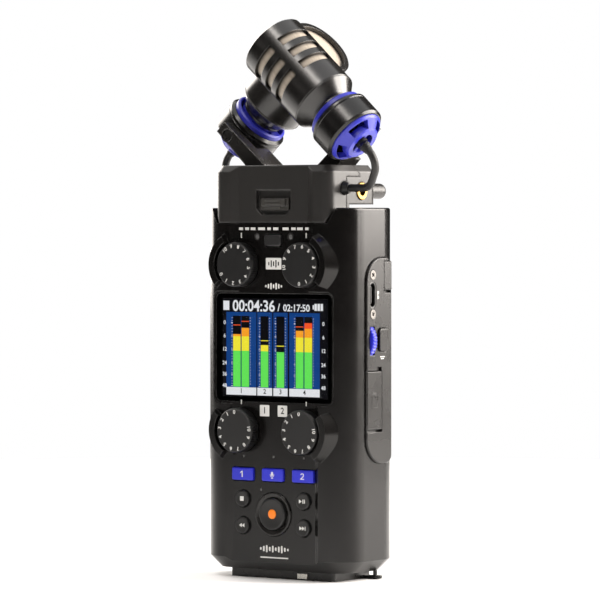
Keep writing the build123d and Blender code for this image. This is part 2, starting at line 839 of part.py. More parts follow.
for cover_name, box in (("card_cover", card_cover_box), ("port_cover", port_cover_box)):
    low_y, high_y, low_z, high_z = box
    with BuildPart() as side_cover:
        with BuildSketch(facing_right(panel_face_x - cover_thickness)):
            with Locations(((low_y + high_y) / 2, (low_z + high_z) / 2)):
                Rectangle(high_y - low_y, high_z - low_z)
        extrude(amount=cover_thickness)
        hinge_edges = side_cover.edges().filter_by(Axis.Y).group_by(Axis.Z)[0]
        fillet(hinge_edges, cover_thickness / 2 - 0.01)
        chamfer(side_cover.faces().sort_by(Axis.Z)[-1].edges().sort_by(Axis.X)[-1], 0.4)
        hinge_y, hinge_z = cover_axis(box)
        with BuildSketch(facing_back(low_y - 0.6)):
            with Locations((-(panel_face_x - cover_thickness / 2), hinge_z)):
                Circle(cover_pin_radius)
        extrude(amount=high_y - low_y + 1.2)
    save(side_cover.part, cover_name)

save(thumb_wheel(dial_x, dial_y, dial_z, dial_radius), "menu_dial")
save(thumb_wheel(volume_x, volume_y, volume_z, volume_radius), "volume_wheel")

with BuildPart() as side_button:
    with BuildSketch(facing_right(panel_inner_x - key_gap)):
        with Locations(side_key_place):
            RectangleRounded(*side_key, 1.2)
    extrude(amount=panel_face_x + side_key_height - panel_inner_x + key_gap)
    fillet(side_button.faces().sort_by(Axis.X)[-1].edges(), 0.35)
    with BuildSketch(facing_right(panel_inner_x - key_gap - side_key_flange)):
        with Locations(side_key_place):
            RectangleRounded(side_key[0] + 1.2, side_key[1] + 1.2, 1.2)
    extrude(amount=side_key_flange)
save(side_button.part, "side_button")

with BuildPart() as power_switch:
    with BuildSketch(facing_right(-side_x - 1.2)):
        with Locations((switch_y, switch_low)):
            SlotOverall(8.0, 4.0, rotation=90)
    extrude(amount=0.9)
    chamfer(power_switch.faces().sort_by(Axis.X)[0].edges(), 0.3)
    with BuildSketch(facing_right(-side_x - 0.3)):
        with Locations((switch_y, switch_low)):
            Rectangle(2.0, 3.0)
    extrude(amount=wall + 0.6)
    with BuildSketch(facing_right(-side_x + wall + 0.3)):
        with Locations((switch_y, switch_low)):
            Rectangle(5.0, 6.0)
    extrude(amount=0.9)
save(power_switch.part, "power_switch")

with BuildPart() as socket_shells:
    with BuildSketch(facing_right(panel_face_x - 7.5)):
        with Locations(usb_place):
            SlotOverall(usb_height + 0.8, usb_width + 0.8, rotation=90)
    extrude(amount=7.3)
    with BuildSketch(facing_right(panel_face_x - 6.5)):
        with Locations(usb_place):
            SlotOverall(usb_height, usb_width, rotation=90)
    extrude(amount=7, mode=Mode.SUBTRACT)
    with BuildSketch(facing_right(panel_face_x - 6.5)):
        with Locations(usb_place):
            Rectangle(0.7, 6.7)
    extrude(amount=5.4)
    for socket_z in audio_levels.values():
        with BuildSketch(facing_right(-side_x - 0.3)):
            with Locations((audio_y, socket_z)):
                Circle(audio_bush_radius)
        extrude(amount=audio_depth)
        with BuildSketch(facing_right(-side_x - 0.3)):
            with Locations((audio_y, socket_z)):
                Circle(audio_bore_radius)
        extrude(amount=audio_depth - 1.0, mode=Mode.SUBTRACT)
save(socket_shells.part, "socket_shells")

# ---------------------------------------------------------------- power, speaker, fasteners
cell_places = [cell_pitch * (index - 1.5) for index in range(4)]

with BuildPart() as battery_cells:
    for index, cell_x in enumerate(cell_places):
        tip = 1 if index % 2 == 0 else -1
        with BuildSketch(Plane.XY.offset(cell_low)):
            with Locations((cell_x, cell_y)):
                Circle(cell_radius)
        extrude(amount=cell_length - 1.2)
        tip_z = cell_low + cell_length - 1.2 if tip > 0 else cell_low - 1.2
        with BuildSketch(Plane.XY.offset(tip_z)):
            with Locations((cell_x, cell_y)):
                Circle(2.7)
        extrude(amount=1.2)
save(battery_cells.part, "battery_cells")

with BuildPart() as battery_terminals:
    for index, cell_x in enumerate(cell_places):
        tip_up = index % 2 == 0
        low_top = cell_low if tip_up else cell_low - 1.2
        high_base = cell_low + cell_length if tip_up else cell_low + cell_length - 1.2
        with BuildSketch(Plane.XY.offset(bay_low)):
            with Locations((cell_x, cell_y)):
                Circle(3.4)
        extrude(amount=0.5)
        with BuildSketch(Plane.XY.offset(bay_low + 0.5)):
            with Locations((cell_x, cell_y)):
                Circle(2.4)
        extrude(amount=low_top - bay_low - 0.5)
        with BuildSketch(Plane.XY.offset(bay_high - 0.5)):
            with Locations((cell_x, cell_y)):
                Circle(3.4)
        extrude(amount=0.5)
        with BuildSketch(Plane.XY.offset(high_base)):
            with Locations((cell_x, cell_y)):
                Circle(2.4)
        extrude(amount=bay_high - 0.5 - high_base)
save(battery_terminals.part, "battery_terminals")

with BuildPart() as speaker:
    with BuildSketch(facing_back(rear_y - wall - 4.6)):
        with Locations((0, speaker_z)):
            Circle(speaker_radius)
    extrude(amount=4.4)
    chamfer(speaker.faces().sort_by(Axis.Y)[0].edges(), 1.2)
save(speaker.part, "speaker")

with BuildPart() as tripod_bush:
    with BuildSketch(facing_back(foot_depth / 2 + 0.4)):
        with Locations((0, tripod_z)):
            Circle(tripod_radius)
    extrude(amount=rear_y - foot_depth / 2 - 0.4)
    with BuildSketch(facing_back(foot_depth / 2 + 1.2)):
        with Locations((0, tripod_z)):
            Circle(tripod_bore_radius)
    extrude(amount=rear_y, mode=Mode.SUBTRACT)
save(tripod_bush.part, "tripod_bush")

with BuildPart() as case_screws:
    with BuildSketch(facing_back(rear_y - wall - 3.8)):
        with Locations(*case_screw_places):
            Circle(1.05)
    extrude(amount=wall + 3.0)
    with BuildSketch(facing_back(rear_y - 1.2)):
        with Locations(*case_screw_places):
            Circle(2.2)
    extrude(amount=1.0)
    with BuildSketch(facing_right(panel_inner_x - 2.0)):
        with Locations(*[(usb_place[0], z) for z in panel_screw_levels]):
            Circle(0.85)
    extrude(amount=panel_face_x - 0.6 - panel_inner_x + 2.0)
    with BuildSketch(facing_right(panel_face_x - 0.7)):
        with Locations(*[(usb_place[0], z) for z in panel_screw_levels]):
            Circle(panel_screw_radius)
    extrude(amount=0.9)
save(case_screws.part, "case_screws")

# ---------------------------------------------------------------- capsule base
with BuildPart() as capsule_socket:
    socket_y = (plug_front_y + plug_rear_y) / 2
    with BuildSketch(Plane.XY.offset(plug_low - 2.0)):
        with Locations((0, socket_y)):
            Rectangle(2 * plug_half + 4.0, plug_rear_y - plug_front_y + 3.0)
    extrude(amount=case_top - plug_low + 2.0)
    with BuildSketch(Plane.XY.offset(plug_low - 0.5)):
        with Locations((0, socket_y)):
            Rectangle(2 * plug_half + 0.4, plug_rear_y - plug_front_y + 0.4)
    extrude(amount=case_top, mode=Mode.SUBTRACT)
save(capsule_socket.part, "capsule_socket")

with BuildPart() as whole_base:
    with BuildSketch(Plane.XY.offset(skirt_low)) as base_plan:
        with Locations((0, (base_front_y + base_rear_y) / 2)):
            RectangleRounded(2 * base_half, base_rear_y - base_front_y, base_corner)
    extrude(amount=base_high - skirt_low)
    chamfer(whole_base.edges().group_by(Axis.Z)[-1], base_bevel, base_bevel * 0.8)
    # Everything behind the skirt stops above the case's shoulders.
    with BuildSketch(Plane.XY.offset(skirt_low)):
        with Locations((0, skirt_back_y)):
            Rectangle(2 * base_half, 40.0, align=(Align.CENTER, Align.MIN))
    extrude(amount=base_low - skirt_low, mode=Mode.SUBTRACT)
    # The skirt narrows downward, a little inside the notch.
    for skirt_side in (-1, 1):
        with BuildSketch(facing_front(skirt_back_y + 1)):
            Polygon(
                (skirt_side * skirt_half, skirt_low),
                (skirt_side * (base_half + 1), skirt_low + 4.6 * 1.4),
                (skirt_side * (base_half + 1), skirt_low - 1),
                (skirt_side * skirt_half, skirt_low - 1),
                align=None,
            )
        extrude(amount=20, mode=Mode.SUBTRACT)
    extrude(
        channel(skirt_low - 1, upper_flat, upper_slope, base_channel_y),
        amount=base_high,
        mode=Mode.SUBTRACT,
    )
    # Recess for the latch, with its lower corners cut off.
    with BuildSketch(facing_front(latch_recess_y)) as recess_outline:
        with Locations((0, latch_z)):
            Rectangle(*latch_recess)
        chamfer(recess_outline.vertices().group_by(Axis.Y)[0], 2.4)
    extrude(amount=5, mode=Mode.SUBTRACT)
    # Hollow, with a floor and a slot that the plug hangs from.
    with BuildSketch(Plane.XY.offset(base_low + base_wall)):
        with Locations((0, (latch_recess_y + 1.6 + base_rear_y - base_wall) / 2)):
            Rectangle(2 * (base_half - base_wall), base_rear_y - base_wall - latch_recess_y - 1.6)
    extrude(amount=base_high - base_low - 2 * base_wall, mode=Mode.SUBTRACT)
    with BuildSketch(Plane.XY.offset(base_low)):
        with Locations((0, socket_y)):
            Rectangle(2 * plug_half, plug_rear_y - plug_front_y)
    extrude(amount=base_wall, mode=Mode.SUBTRACT)
    # Holes in the sides for the input bush and the two lead grommets.
    with BuildSketch(facing_right(base_half - 3)):
        with Locations((input_bush_y, input_bush_z)):
            Circle(input_bush_radius + 0.05)
        with Locations((grommet_y, grommet_z)):
            Circle(grommet_radius)
    extrude(amount=5, mode=Mode.SUBTRACT)
    with BuildSketch(facing_right(-base_half - 2)):
        with Locations((-grommet_y, grommet_z)):
            Circle(grommet_radius)
    extrude(amount=5, mode=Mode.SUBTRACT)


def rear_shell_region(gap):
    """Side outline of everything that belongs to the capsule's rear shell."""
    with BuildSketch(facing_right(-base_half - 5), mode=Mode.PRIVATE) as region:
        Polygon(
            (base_seam_y + gap, base_low - 10),
            (base_seam_y + gap, base_seam_z - gap),
            (base_top_seam_y + gap, base_seam_z - gap),
            (base_top_seam_y + gap - 5.2, base_high + 5),
            (base_rear_y + 20, base_high + 5),
            (base_rear_y + 20, base_low - 10),
            align=None,
        )
    return region.sketch


with BuildPart() as capsule_front:
    add(whole_base.part)
    extrude(rear_shell_region(0.0), amount=2 * base_half + 10, mode=Mode.SUBTRACT)
save(capsule_front.part, "capsule_front")

with BuildPart() as capsule_back:
    add(whole_base.part)
    extrude(rear_shell_region(0.12), amount=2 * base_half + 10, mode=Mode.INTERSECT)
    # Two round-ended pegs that stand out at the rear.
    with BuildSketch(facing_back(base_rear_y - 0.3)):
        with Locations((-peg_x, peg_z), (peg_x, peg_z)):
            Circle(peg_radius)
    extrude(amount=peg_end_y - base_rear_y + 0.3)
    fillet(capsule_back.faces().group_by(Axis.Y)[-1].edges(), 1.6)
save(capsule_back.part, "capsule_back")

with BuildPart() as capsule_plug:
    with BuildSketch(Plane.XY.offset(plug_low)):
        with Locations((0, socket_y)):
            Rectangle(2 * plug_half, plug_rear_y - plug_front_y)
    extrude(amount=base_low + base_wall + 1.0 - plug_low)
    chamfer(capsule_plug.edges().group_by(Axis.Z)[0], 0.5)
save(capsule_plug.part, "capsule_plug")

with BuildPart() as capsule_latch:
    with BuildSketch(facing_front(latch_recess_y - 0.25)):
        with Locations((0, latch_z - 0.6)):
            RectangleRounded(13.0, 4.6, 0.6)
    extrude(amount=0.7)
    with BuildSketch(facing_front(latch_recess_y - 0.25)):
        with Locations((0, latch_z)):
            RectangleRounded(11.0, 2.8, 0.5)
    extrude(amount=1.9)
    fillet(capsule_latch.faces().sort_by(Axis.Y)[0].edges(), 0.4)
save(capsule_latch.part, "capsule_latch")

with BuildPart() as input_bush:
    with BuildSketch(facing_right(base_half - 12.5)):
        with Locations((input_bush_y, input_bush_z)):
            Circle(input_bush_radius)
    extrude(amount=13.0)
    chamfer(input_bush.faces().sort_by(Axis.X)[-1].edges(), 0.3)
    with BuildSketch(facing_right(base_half - 11.5)):
        with Locations((input_bush_y, input_bush_z)):
            Circle(audio_bore_radius)
    extrude(amount=20.0, mode=Mode.SUBTRACT)
save(input_bush.part, "input_bush")

with BuildPart() as lead_grommets:
    for grommet_side in (-1, 1):
        with BuildSketch(facing_right(grommet_side * (base_half - 2.4))):
            with Locations((grommet_side * grommet_y, grommet_z)):
                Circle(grommet_radius)
        extrude(amount=grommet_side * (grommet_end_x - base_half + 2.4))
save(lead_grommets.part, "lead_grommets")

# ---------------------------------------------------------------- microphones and arms
axis_x = sin(radians(mic_tilt))
axis_z = cos(radians(mic_tilt))
pivot_x = mic_reach - pivot_at * axis_x + pivot_drop * axis_z
pivot_z = mic_top - pivot_at * axis_z - pivot_drop * axis_x

with BuildPart() as mic_arms:
    for arm_side in (-1, 1):
        near_y = mic_centre_y - arm_side * arm_gap
        outline = [(-arm_side * x, z) for x, z in arm_outline]
        with BuildSketch(facing_front(near_y)):
            Polygon(*outline, align=None)
            with Locations((-arm_side * pivot_x, pivot_z)):
                Circle(screw_head_radius + 0.5)
        extrude(amount=-arm_side * arm_thick)
        with BuildSketch(facing_front(-arm_foot_y)):
            Polygon(*outline, align=None)
            with Locations((-arm_side * pivot_x, pivot_z)):
                Circle(arm_foot_clear, mode=Mode.SUBTRACT)
        extrude(amount=-2 * arm_foot_y)
    for arm_side in (-1, 1):
        far_y = mic_centre_y - arm_side * (arm_gap - arm_thick)
        with BuildSketch(facing_front(far_y)):
            with Locations((-arm_side * pivot_x, pivot_z)):
                Circle(screw_head_radius + 0.25)
        extrude(amount=arm_side * screw_seat_depth, mode=Mode.SUBTRACT)
        with BuildSketch(facing_front(far_y)):
            with Locations((-arm_side * pivot_x, pivot_z)):
                Circle(pivot_radius)
        extrude(amount=arm_side * arm_thick, mode=Mode.SUBTRACT)
save(mic_arms.part, "mic_arms")

with BuildPart() as pivot_screws:
    for arm_side in (-1, 1):
        far_y = mic_centre_y - arm_side * (arm_gap - arm_thick)
        seat_y = far_y - arm_side * screw_seat_depth
        with BuildSketch(facing_front(seat_y)):
            with Locations((-arm_side * pivot_x, pivot_z)):
                Circle(screw_head_radius)
        extrude(amount=-arm_side * (screw_seat_depth - 0.3))
        with BuildSketch(facing_front(mic_centre_y - arm_side * (arm_gap + pivot_reach))):
            with Locations((-arm_side * pivot_x, pivot_z)):
                Circle(pivot_radius)
        extrude(amount=-arm_side * (arm_thick - screw_seat_depth + pivot_reach))
save(pivot_screws.part, "pivot_screws")


def build_microphone(side):
    """The pieces of one microphone. side is -1 for the one held by the left arm."""
    name = "left" if side < 0 else "right"
    tip = Vector(-side * mic_reach, mic_centre_y - side * mic_side, mic_top)
    along = Vector(side * axis_x, 0, -axis_z)
    outward = Vector(0, side, 0)
    face = Plane(origin=tip, x_dir=outward, z_dir=along)
    profile = Plane(origin=tip, x_dir=along, z_dir=along.cross(outward))
    spin = Axis(tip, along)

    # Barrel: slotted head, cone and closed neck.
    with BuildPart() as barrel:
        with BuildSketch(profile):
            with BuildLine():
                Polyline(
                    (0.0, 10.6), (0.0, head_radius - 0.5), (0.5, head_radius),
                    (head_seam, head_radius), (head_seam + 0.2, head_radius - 0.25),
                    (head_seam + 0.4, head_radius), (head_length - 0.2, head_radius),
                    (head_length, head_radius - 0.2), (cone_end, cone_radius),
                    (neck_start, cone_radius), (neck_start, neck_radius),
                    (neck_end, neck_radius), (neck_end, 0.0), (neck_end - 1.2, 0.0),
                    (neck_end - 1.2, neck_radius - 1.2), (cone_end - 0.8, neck_radius - 1.2),
                    (head_length - 0.2, head_radius - head_wall),
                    (1.6, head_radius - head_wall), (1.6, 10.6),
                    close=True,
                )
            make_face()
        revolve(axis=spin)
        for row in slot_rows:
            with BuildSketch(face.offset(row)):
                for index in range(slot_count):
                    start = slot_turn + index * 360 / slot_count - slot_sweep / 2
                    add(ring_sector(head_radius - head_wall - 0.4, head_radius + 1, start, slot_sweep))
            extrude(amount=slot_width, mode=Mode.SUBTRACT)
        with BuildSketch(face.offset(neck_end)):
            Circle(2.2)
        extrude(amount=gland_end - neck_end)
    save(barrel.part, f"mic_barrel_{name}")

    # Mesh cup behind the slots and across the open end.
    with BuildPart() as mesh:
        with BuildSketch(face.offset(1.7)):
            Circle(head_radius - head_wall - 0.05)
        extrude(amount=head_length - 3.0)
        with BuildSketch(face.offset(2.1)):
            Circle(head_radius - head_wall - 0.4)
        extrude(amount=head_length, mode=Mode.SUBTRACT)
    save(mesh.part, f"mic_mesh_{name}")

    with BuildPart() as element:
        with BuildSketch(face.offset(6.0)):
            Circle(head_radius - head_wall - 0.45)
        extrude(amount=9.0)
        chamfer(element.edges(), 0.5)
    save(element.part, f"mic_element_{name}")

    # Holder with the bore that turns on the arm's screw.
    with BuildPart() as holder:
        with BuildSketch(profile):
            with BuildLine():
                Polyline(
                    (holder_start, holder_inner), (holder_start, holder_inner + 0.3),
                    (holder_start + 1.0, holder_radius), (holder_start + 2.0, holder_radius),
                    (holder_start + 2.25, holder_radius - 0.25), (holder_start + 2.5, holder_radius),
                    (holder_end - 0.8, holder_radius), (holder_end, holder_inner + 0.5),
                    (holder_end, holder_inner),
                    close=True,
                )
            make_face()
        revolve(axis=spin)
        with BuildSketch(facing_front(mic_centre_y - side * arm_gap)):
            with Locations((-side * pivot_x, pivot_z)):
                Circle(pivot_radius + running_gap)
        extrude(amount=side * 4.0, mode=Mode.SUBTRACT)
    save(holder.part, f"mic_holder_{name}")

    # Elastic mounts: a spoked ring at the holder's front and a spoked dome at its back.
    with BuildPart() as mounts:
        with BuildSketch(profile):
            with BuildLine():
                Polyline(
                    (hub_front, neck_radius), (hub_front, 10.3), (hub_front + 0.6, holder_inner),
                    (holder_start + 1.6, holder_inner), (holder_start + 1.6, 9.8),
                    (hub_front + 1.6, 9.8), (hub_front + 1.6, neck_radius),
                    close=True,
                )
            make_face()
            with BuildLine():
                Polyline(
                    (holder_end - 1.8, holder_inner), (holder_end + 0.5, holder_inner),
                    (holder_end + 1.2, 10.3), (hub_end - 0.5, 7.1), (hub_end, 6.5),
                    (hub_end, 4.4), (hub_end - 1.6, 4.4), (hub_end - 1.8, 5.8),
                    (holder_end - 0.6, 9.0), (holder_end - 1.8, 9.6),
                    close=True,
                )
            make_face()
        revolve(axis=spin)
        with BuildSketch(face.offset(holder_start)):
            for index in range(4):
                add(ring_sector(8.2, 9.8, index * 90 + 15, 60))
        extrude(amount=-6, mode=Mode.SUBTRACT)
        with BuildSketch(face.offset(neck_end + 0.2)):
            for index in range(4):
                add(ring_sector(7.1, 9.9, index * 90 + 18, 54))
        extrude(amount=10, mode=Mode.SUBTRACT)
        # Four struts carry the inner ring of the dome on the end of the neck.
        with BuildSketch(face.offset(neck_end)):
            for index in range(4):
                add(ring_sector(2.2, 6.4, index * 90 - 12, 24))
        extrude(amount=hub_end - neck_end - 0.8)
    save(mounts.part, f"mic_mounts_{name}")


build_microphone(-1)
build_microphone(1)

# ---------------------------------------------------------------- leads
for lead_name, lead_side in (("lead_left", -1), ("lead_right", 1)):
    tip_x = -lead_side * mic_reach
    mic_y = mic_centre_y - lead_side * mic_side
    route = [(tip_x + lead_side * axis_x * at, mic_y, mic_top - axis_z * at)
             for at in (gland_end, gland_end + lead_turn)]
    route += [(lead_side * lead_low_x, lead_side * grommet_y, grommet_z),
              (lead_side * grommet_end_x, lead_side * grommet_y, grommet_z)]
    with BuildPart() as lead:
        with BuildLine() as lead_line:
            FilletPolyline(*route, radius=lead_bend)
        with BuildSketch(Plane(origin=lead_line.wire() @ 0, z_dir=lead_line.wire() % 0)):
            Circle(lead_radius)
        sweep()
    save(lead.part, lead_name)
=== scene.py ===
from math import cos, pi, radians, sin, tan

import bmesh
import bpy
from mathutils import Matrix, Vector


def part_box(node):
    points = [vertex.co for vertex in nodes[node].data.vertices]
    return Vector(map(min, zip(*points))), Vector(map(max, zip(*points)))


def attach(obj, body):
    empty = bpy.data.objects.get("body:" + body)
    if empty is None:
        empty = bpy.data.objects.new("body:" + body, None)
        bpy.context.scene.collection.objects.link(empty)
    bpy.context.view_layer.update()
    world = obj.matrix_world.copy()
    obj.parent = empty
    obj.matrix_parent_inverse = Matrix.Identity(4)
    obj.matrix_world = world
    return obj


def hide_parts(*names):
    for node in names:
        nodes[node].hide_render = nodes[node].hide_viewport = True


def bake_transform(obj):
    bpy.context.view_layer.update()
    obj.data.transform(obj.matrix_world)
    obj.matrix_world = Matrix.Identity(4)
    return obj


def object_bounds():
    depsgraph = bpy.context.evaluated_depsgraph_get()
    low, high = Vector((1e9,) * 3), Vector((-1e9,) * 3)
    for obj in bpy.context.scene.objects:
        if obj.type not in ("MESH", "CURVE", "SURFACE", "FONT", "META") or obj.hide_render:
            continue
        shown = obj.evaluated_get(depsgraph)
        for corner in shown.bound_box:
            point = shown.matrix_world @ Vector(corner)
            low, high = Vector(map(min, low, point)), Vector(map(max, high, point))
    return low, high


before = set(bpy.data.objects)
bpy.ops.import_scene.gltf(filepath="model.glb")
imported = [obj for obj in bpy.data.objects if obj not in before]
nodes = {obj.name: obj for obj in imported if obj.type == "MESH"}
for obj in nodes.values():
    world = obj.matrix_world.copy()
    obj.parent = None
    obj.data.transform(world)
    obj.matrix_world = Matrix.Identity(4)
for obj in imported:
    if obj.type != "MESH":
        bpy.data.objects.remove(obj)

MM = 0.001
# The microphones' tilt from upright, and where each open end is, in millimetres.
TILT = radians(47.5)
MIC_REACH, MIC_CENTRE_Y, MIC_SIDE, MIC_TOP = 1.9, -1.6, 12.95, 199.7
cad_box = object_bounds()


# ------------------------------------------------------------------ small helpers
def middle(node):
    """Middle of a CAD node's box."""
    low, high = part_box(node)
    return (low + high) / 2


def place_of(node):
    """Middle of a CAD node in millimetres."""
    return middle(node) / MM


def add_object(name, data):
    """New object in the scene."""
    thing = bpy.data.objects.new(name, data)
    bpy.context.scene.collection.objects.link(thing)
    return thing


def paint(thing, material):
    """Give an object one material."""
    thing.data.materials.clear()
    thing.data.materials.append(material)
    return thing


# ------------------------------------------------------------------ materials
class Nodes:
    """Short way to build a node tree."""

    def __init__(self, name):
        self.material = bpy.data.materials.new(name)
        self.material.use_nodes = True
        self.tree = self.material.node_tree
        self.shader = self.tree.nodes["Principled BSDF"]

    def add(self, kind, **inputs):
        node = self.tree.nodes.new(kind)
        for key, value in inputs.items():
            if key.startswith("_"):
                setattr(node, key[1:], value)
            else:
                self.put(node.inputs[key.replace("__", " ")], value)
        return node

    def put(self, socket, value):
        if isinstance(value, bpy.types.NodeSocket):
            self.tree.links.new(value, socket)
        else:
            socket.default_value = value

    def set(self, **inputs):
        for key, value in inputs.items():
            self.put(self.shader.inputs[key.replace("__", " ")], value)

    def place(self):
        return self.add("ShaderNodeTexCoord").outputs["Object"]

    def noise(self, scale, detail=3.0, roughness=0.5, vector=None):
        node = self.add("ShaderNodeTexNoise", Scale=scale, Detail=detail, Roughness=roughness)
        self.tree.links.new(vector or self.place(), node.inputs["Vector"])
        return node.outputs["Fac"]

    def remap(self, value, low, high, out_low, out_high):
        node = self.add("ShaderNodeMapRange")
        for index, number in enumerate((value, low, high, out_low, out_high)):
            self.put(node.inputs[index], number)
        return node.outputs[0]

    def mix(self, factor, first, second):
        node = self.add("ShaderNodeMix", _data_type="RGBA")
        self.put(node.inputs[0], factor)
        self.put(node.inputs[6], first)
        self.put(node.inputs[7], second)
        return node.outputs[2]

    def math(self, operation, first, second=0.0):
        node = self.add("ShaderNodeMath", _operation=operation)
        self.put(node.inputs[0], first)
        self.put(node.inputs[1], second)
        return node.outputs[0]

    def bump(self, height, strength, distance, normal=None):
        node = self.add("ShaderNodeBump", Strength=strength, Distance=distance, Height=height)
        if normal is not None:
            self.tree.links.new(normal, node.inputs["Normal"])
        return node.outputs["Normal"]

    def edge_wear(self, radius):
        """Near 1 on convex edges and 0 on flat ground; it masks where edges get a painted highlight.
        """
        soft = self.add("ShaderNodeBevel", Radius=radius, _samples=4).outputs["Normal"]
        plain = self.add("ShaderNodeNewGeometry").outputs["Normal"]
        dot = self.add("ShaderNodeVectorMath", _operation="DOT_PRODUCT")
        self.tree.links.new(soft, dot.inputs[0])
        self.tree.links.new(plain, dot.inputs[1])
        return self.remap(dot.outputs["Value"], 0.7, 0.95, 1.0, 0.0)


def grey(value):
    """Opaque grey."""
    return (value, value, value, 1.0)


GRAIN_SCALE = 2600.0


def moulded(name, colour, roughness, grain=0.12, edge=0.00035, lift=1.35, specular=0.5, shine=0.0):
    """Moulded plastic: fine grain, slow tone drift, and a painted highlight that makes convex edges
    paler.

    grain is how rough the fine grain looks, and edge the radius that corners seem to have. lift
    scales the paler tone, and shine is a painted highlight added to it on the edges.
    """
    n = Nodes(name)
    colour = (*colour, 1.0)
    pale = tuple(min(1.0, c * lift + 0.001) for c in colour[:3]) + (1.0,)
    drift = n.noise(38.0, 4.0)
    # Painted highlight: a mask of the convex edges, broken up by noise, paints them paler and a
    # little glossier.
    highlight_edges = n.edge_wear(0.0006)
    edge_sheen = n.math("MULTIPLY", highlight_edges, n.remap(n.noise(700.0, 2.0), 0.35, 0.7, 0.1, 1.0))
    tone = n.mix(n.remap(drift, 0.3, 0.7, 0.0, 0.5), colour, pale)
    # Tone of the painted edge highlight: the paler tone raised by shine.
    rim = tuple(c + shine for c in pale[:3]) + (1.0,)
    n.set(Base__Color=n.mix(n.math("MULTIPLY", edge_sheen, 0.6), tone, rim))
    rough = n.remap(n.noise(120.0, 3.0), 0.25, 0.75, roughness - 0.02, roughness + 0.03)
    n.set(Roughness=n.math("SUBTRACT", rough, n.math("MULTIPLY", edge_sheen, 0.05)))
    n.shader.inputs["Specular IOR Level"].default_value = specular
    soft = n.add("ShaderNodeBevel", Radius=edge, _samples=6).outputs["Normal"]
    n.set(Normal=n.bump(n.noise(GRAIN_SCALE, 2.0, 0.7), 0.35 * grain, 0.00004, soft))
    return n.material


def metal(name, colour, roughness, brushed=False):
    """Plated metal with light scratches."""
    n = Nodes(name)
    n.shader.inputs["Metallic"].default_value = 1.0
    length = 14.0 if brushed else 1.0
    stretch = n.add("ShaderNodeMapping", Vector=n.place(), Scale=(1.0, 1.0, length))
    scratch = n.noise(900.0, 3.0, 0.6, stretch.outputs["Vector"])
    dark = tuple(c * 0.7 for c in colour) + (1.0,)
    n.set(Base__Color=n.mix(n.remap(scratch, 0.3, 0.75, 0.0, 1.0), dark, (*colour, 1.0)))
    n.set(Roughness=n.remap(scratch, 0.3, 0.7, roughness - 0.06, roughness + 0.12))
    soft = n.add("ShaderNodeBevel", Radius=0.00015, _samples=4).outputs["Normal"]
    n.set(Normal=n.bump(scratch, 0.15, 0.00003, soft))
    return n.material


def glow(name, colour, strength):
    """Part of the lit display, with the fine grid of its picture cells."""
    n = Nodes(name)
    n.set(Base__Color=(0.0, 0.0, 0.0, 1.0))
    cells = n.add("ShaderNodeTexWave", Vector=n.place(), Scale=1200.0, Distortion=0.0,
                  _bands_direction="Z").outputs["Fac"]
    shade = tuple(c * 0.9 for c in colour) + (1.0,)
    n.set(Emission__Color=n.mix(cells, shade, (*colour, 1.0)))
    n.shader.inputs["Emission Strength"].default_value = strength
    n.shader.inputs["Roughness"].default_value = 0.4
    n.shader.inputs["Specular IOR Level"].default_value = 0.1
    return n.material


# The shine values below add a painted highlight to each plastic's convex edges.
case_black = moulded("case_black", (0.0032, 0.0028, 0.0026), 0.22, grain=0.16,
                     specular=0.36, shine=0.10)
# The capsule's black plastic, painted lighter than the case's as painted light for its brightly lit
# block, with a painted edge highlight.
capsule_black = moulded("capsule_black", (0.0165, 0.0155, 0.0148), 0.36, grain=0.12,
                        edge=0.0008, shine=0.12)
latch_grey = moulded("latch_grey", (0.042, 0.040, 0.037), 0.3, edge=0.0004)
# The arms' black plastic, painted lighter than the holders' as painted light for their lit flats,
# with a painted edge highlight.
arm_black = moulded("arm_black", (0.0150, 0.0140, 0.0132), 0.26, grain=0.10,
                    edge=0.0009, shine=0.12)
panel_black = moulded("panel_black", (0.0060, 0.0054, 0.0050), 0.27, grain=0.10,
                      specular=0.42, shine=0.06)
knob_black = moulded("knob_black", (0.0075, 0.0075, 0.0078), 0.36, grain=0.10, specular=0.45)
mode_black = moulded("mode_black", (0.011, 0.011, 0.0115), 0.4, grain=0.1)
bright_steel = metal("bright_steel", (0.20, 0.19, 0.18), 0.34)
key_black = moulded("key_black", (0.0075, 0.0075, 0.0075), 0.5, grain=0.1)
holder_black = moulded("holder_black", (0.0045, 0.0042, 0.0042), 0.24, grain=0.06)
socket_black = moulded("socket_black", (0.006, 0.006, 0.006), 0.45)
blue_key = moulded("blue_key", (0.018, 0.024, 0.54), 0.34, grain=0.06, lift=1.1)
blue_rubber = moulded("blue_rubber", (0.020, 0.024, 0.36), 0.36, grain=0.12, lift=1.15)
orange_dot = moulded("orange_dot", (0.95, 0.23, 0.01), 0.4, grain=0.03, lift=1.05)
board_green = moulded("board_green", (0.01, 0.09, 0.03), 0.35)
cell_wrap = moulded("cell_wrap", (0.05, 0.055, 0.065), 0.3)
white_ink = moulded("white_ink", (0.72, 0.72, 0.70), 0.5, grain=0.05, lift=1.05)
lamp_grey = moulded("lamp_grey", (0.10, 0.10, 0.10), 0.25, grain=0.02)
lead_black = moulded("lead_black", (0.006, 0.006, 0.006), 0.5, grain=0.2)
silver = metal("silver", (0.78, 0.76, 0.70), 0.28, brushed=True)
screw_black = metal("screw_black", (0.10, 0.10, 0.10), 0.3)
steel = metal("steel", (0.16, 0.16, 0.16), 0.34)
gilt = metal("gilt", (0.50, 0.31, 0.09), 0.3)


def clear_glass():
    """Cover glass with a faint smear in its polish."""
    n = Nodes("cover_glass")
    n.set(Base__Color=grey(0.97), Transmission__Weight=1.0, IOR=1.47)
    n.set(Roughness=n.remap(n.noise(90.0, 4.0), 0.3, 0.7, 0.0, 0.03))
    return n.material


def tilted_axis(side):
    """Unit vector from a microphone's open end to its lead."""
    return Vector((side * sin(TILT), 0, -cos(TILT)))


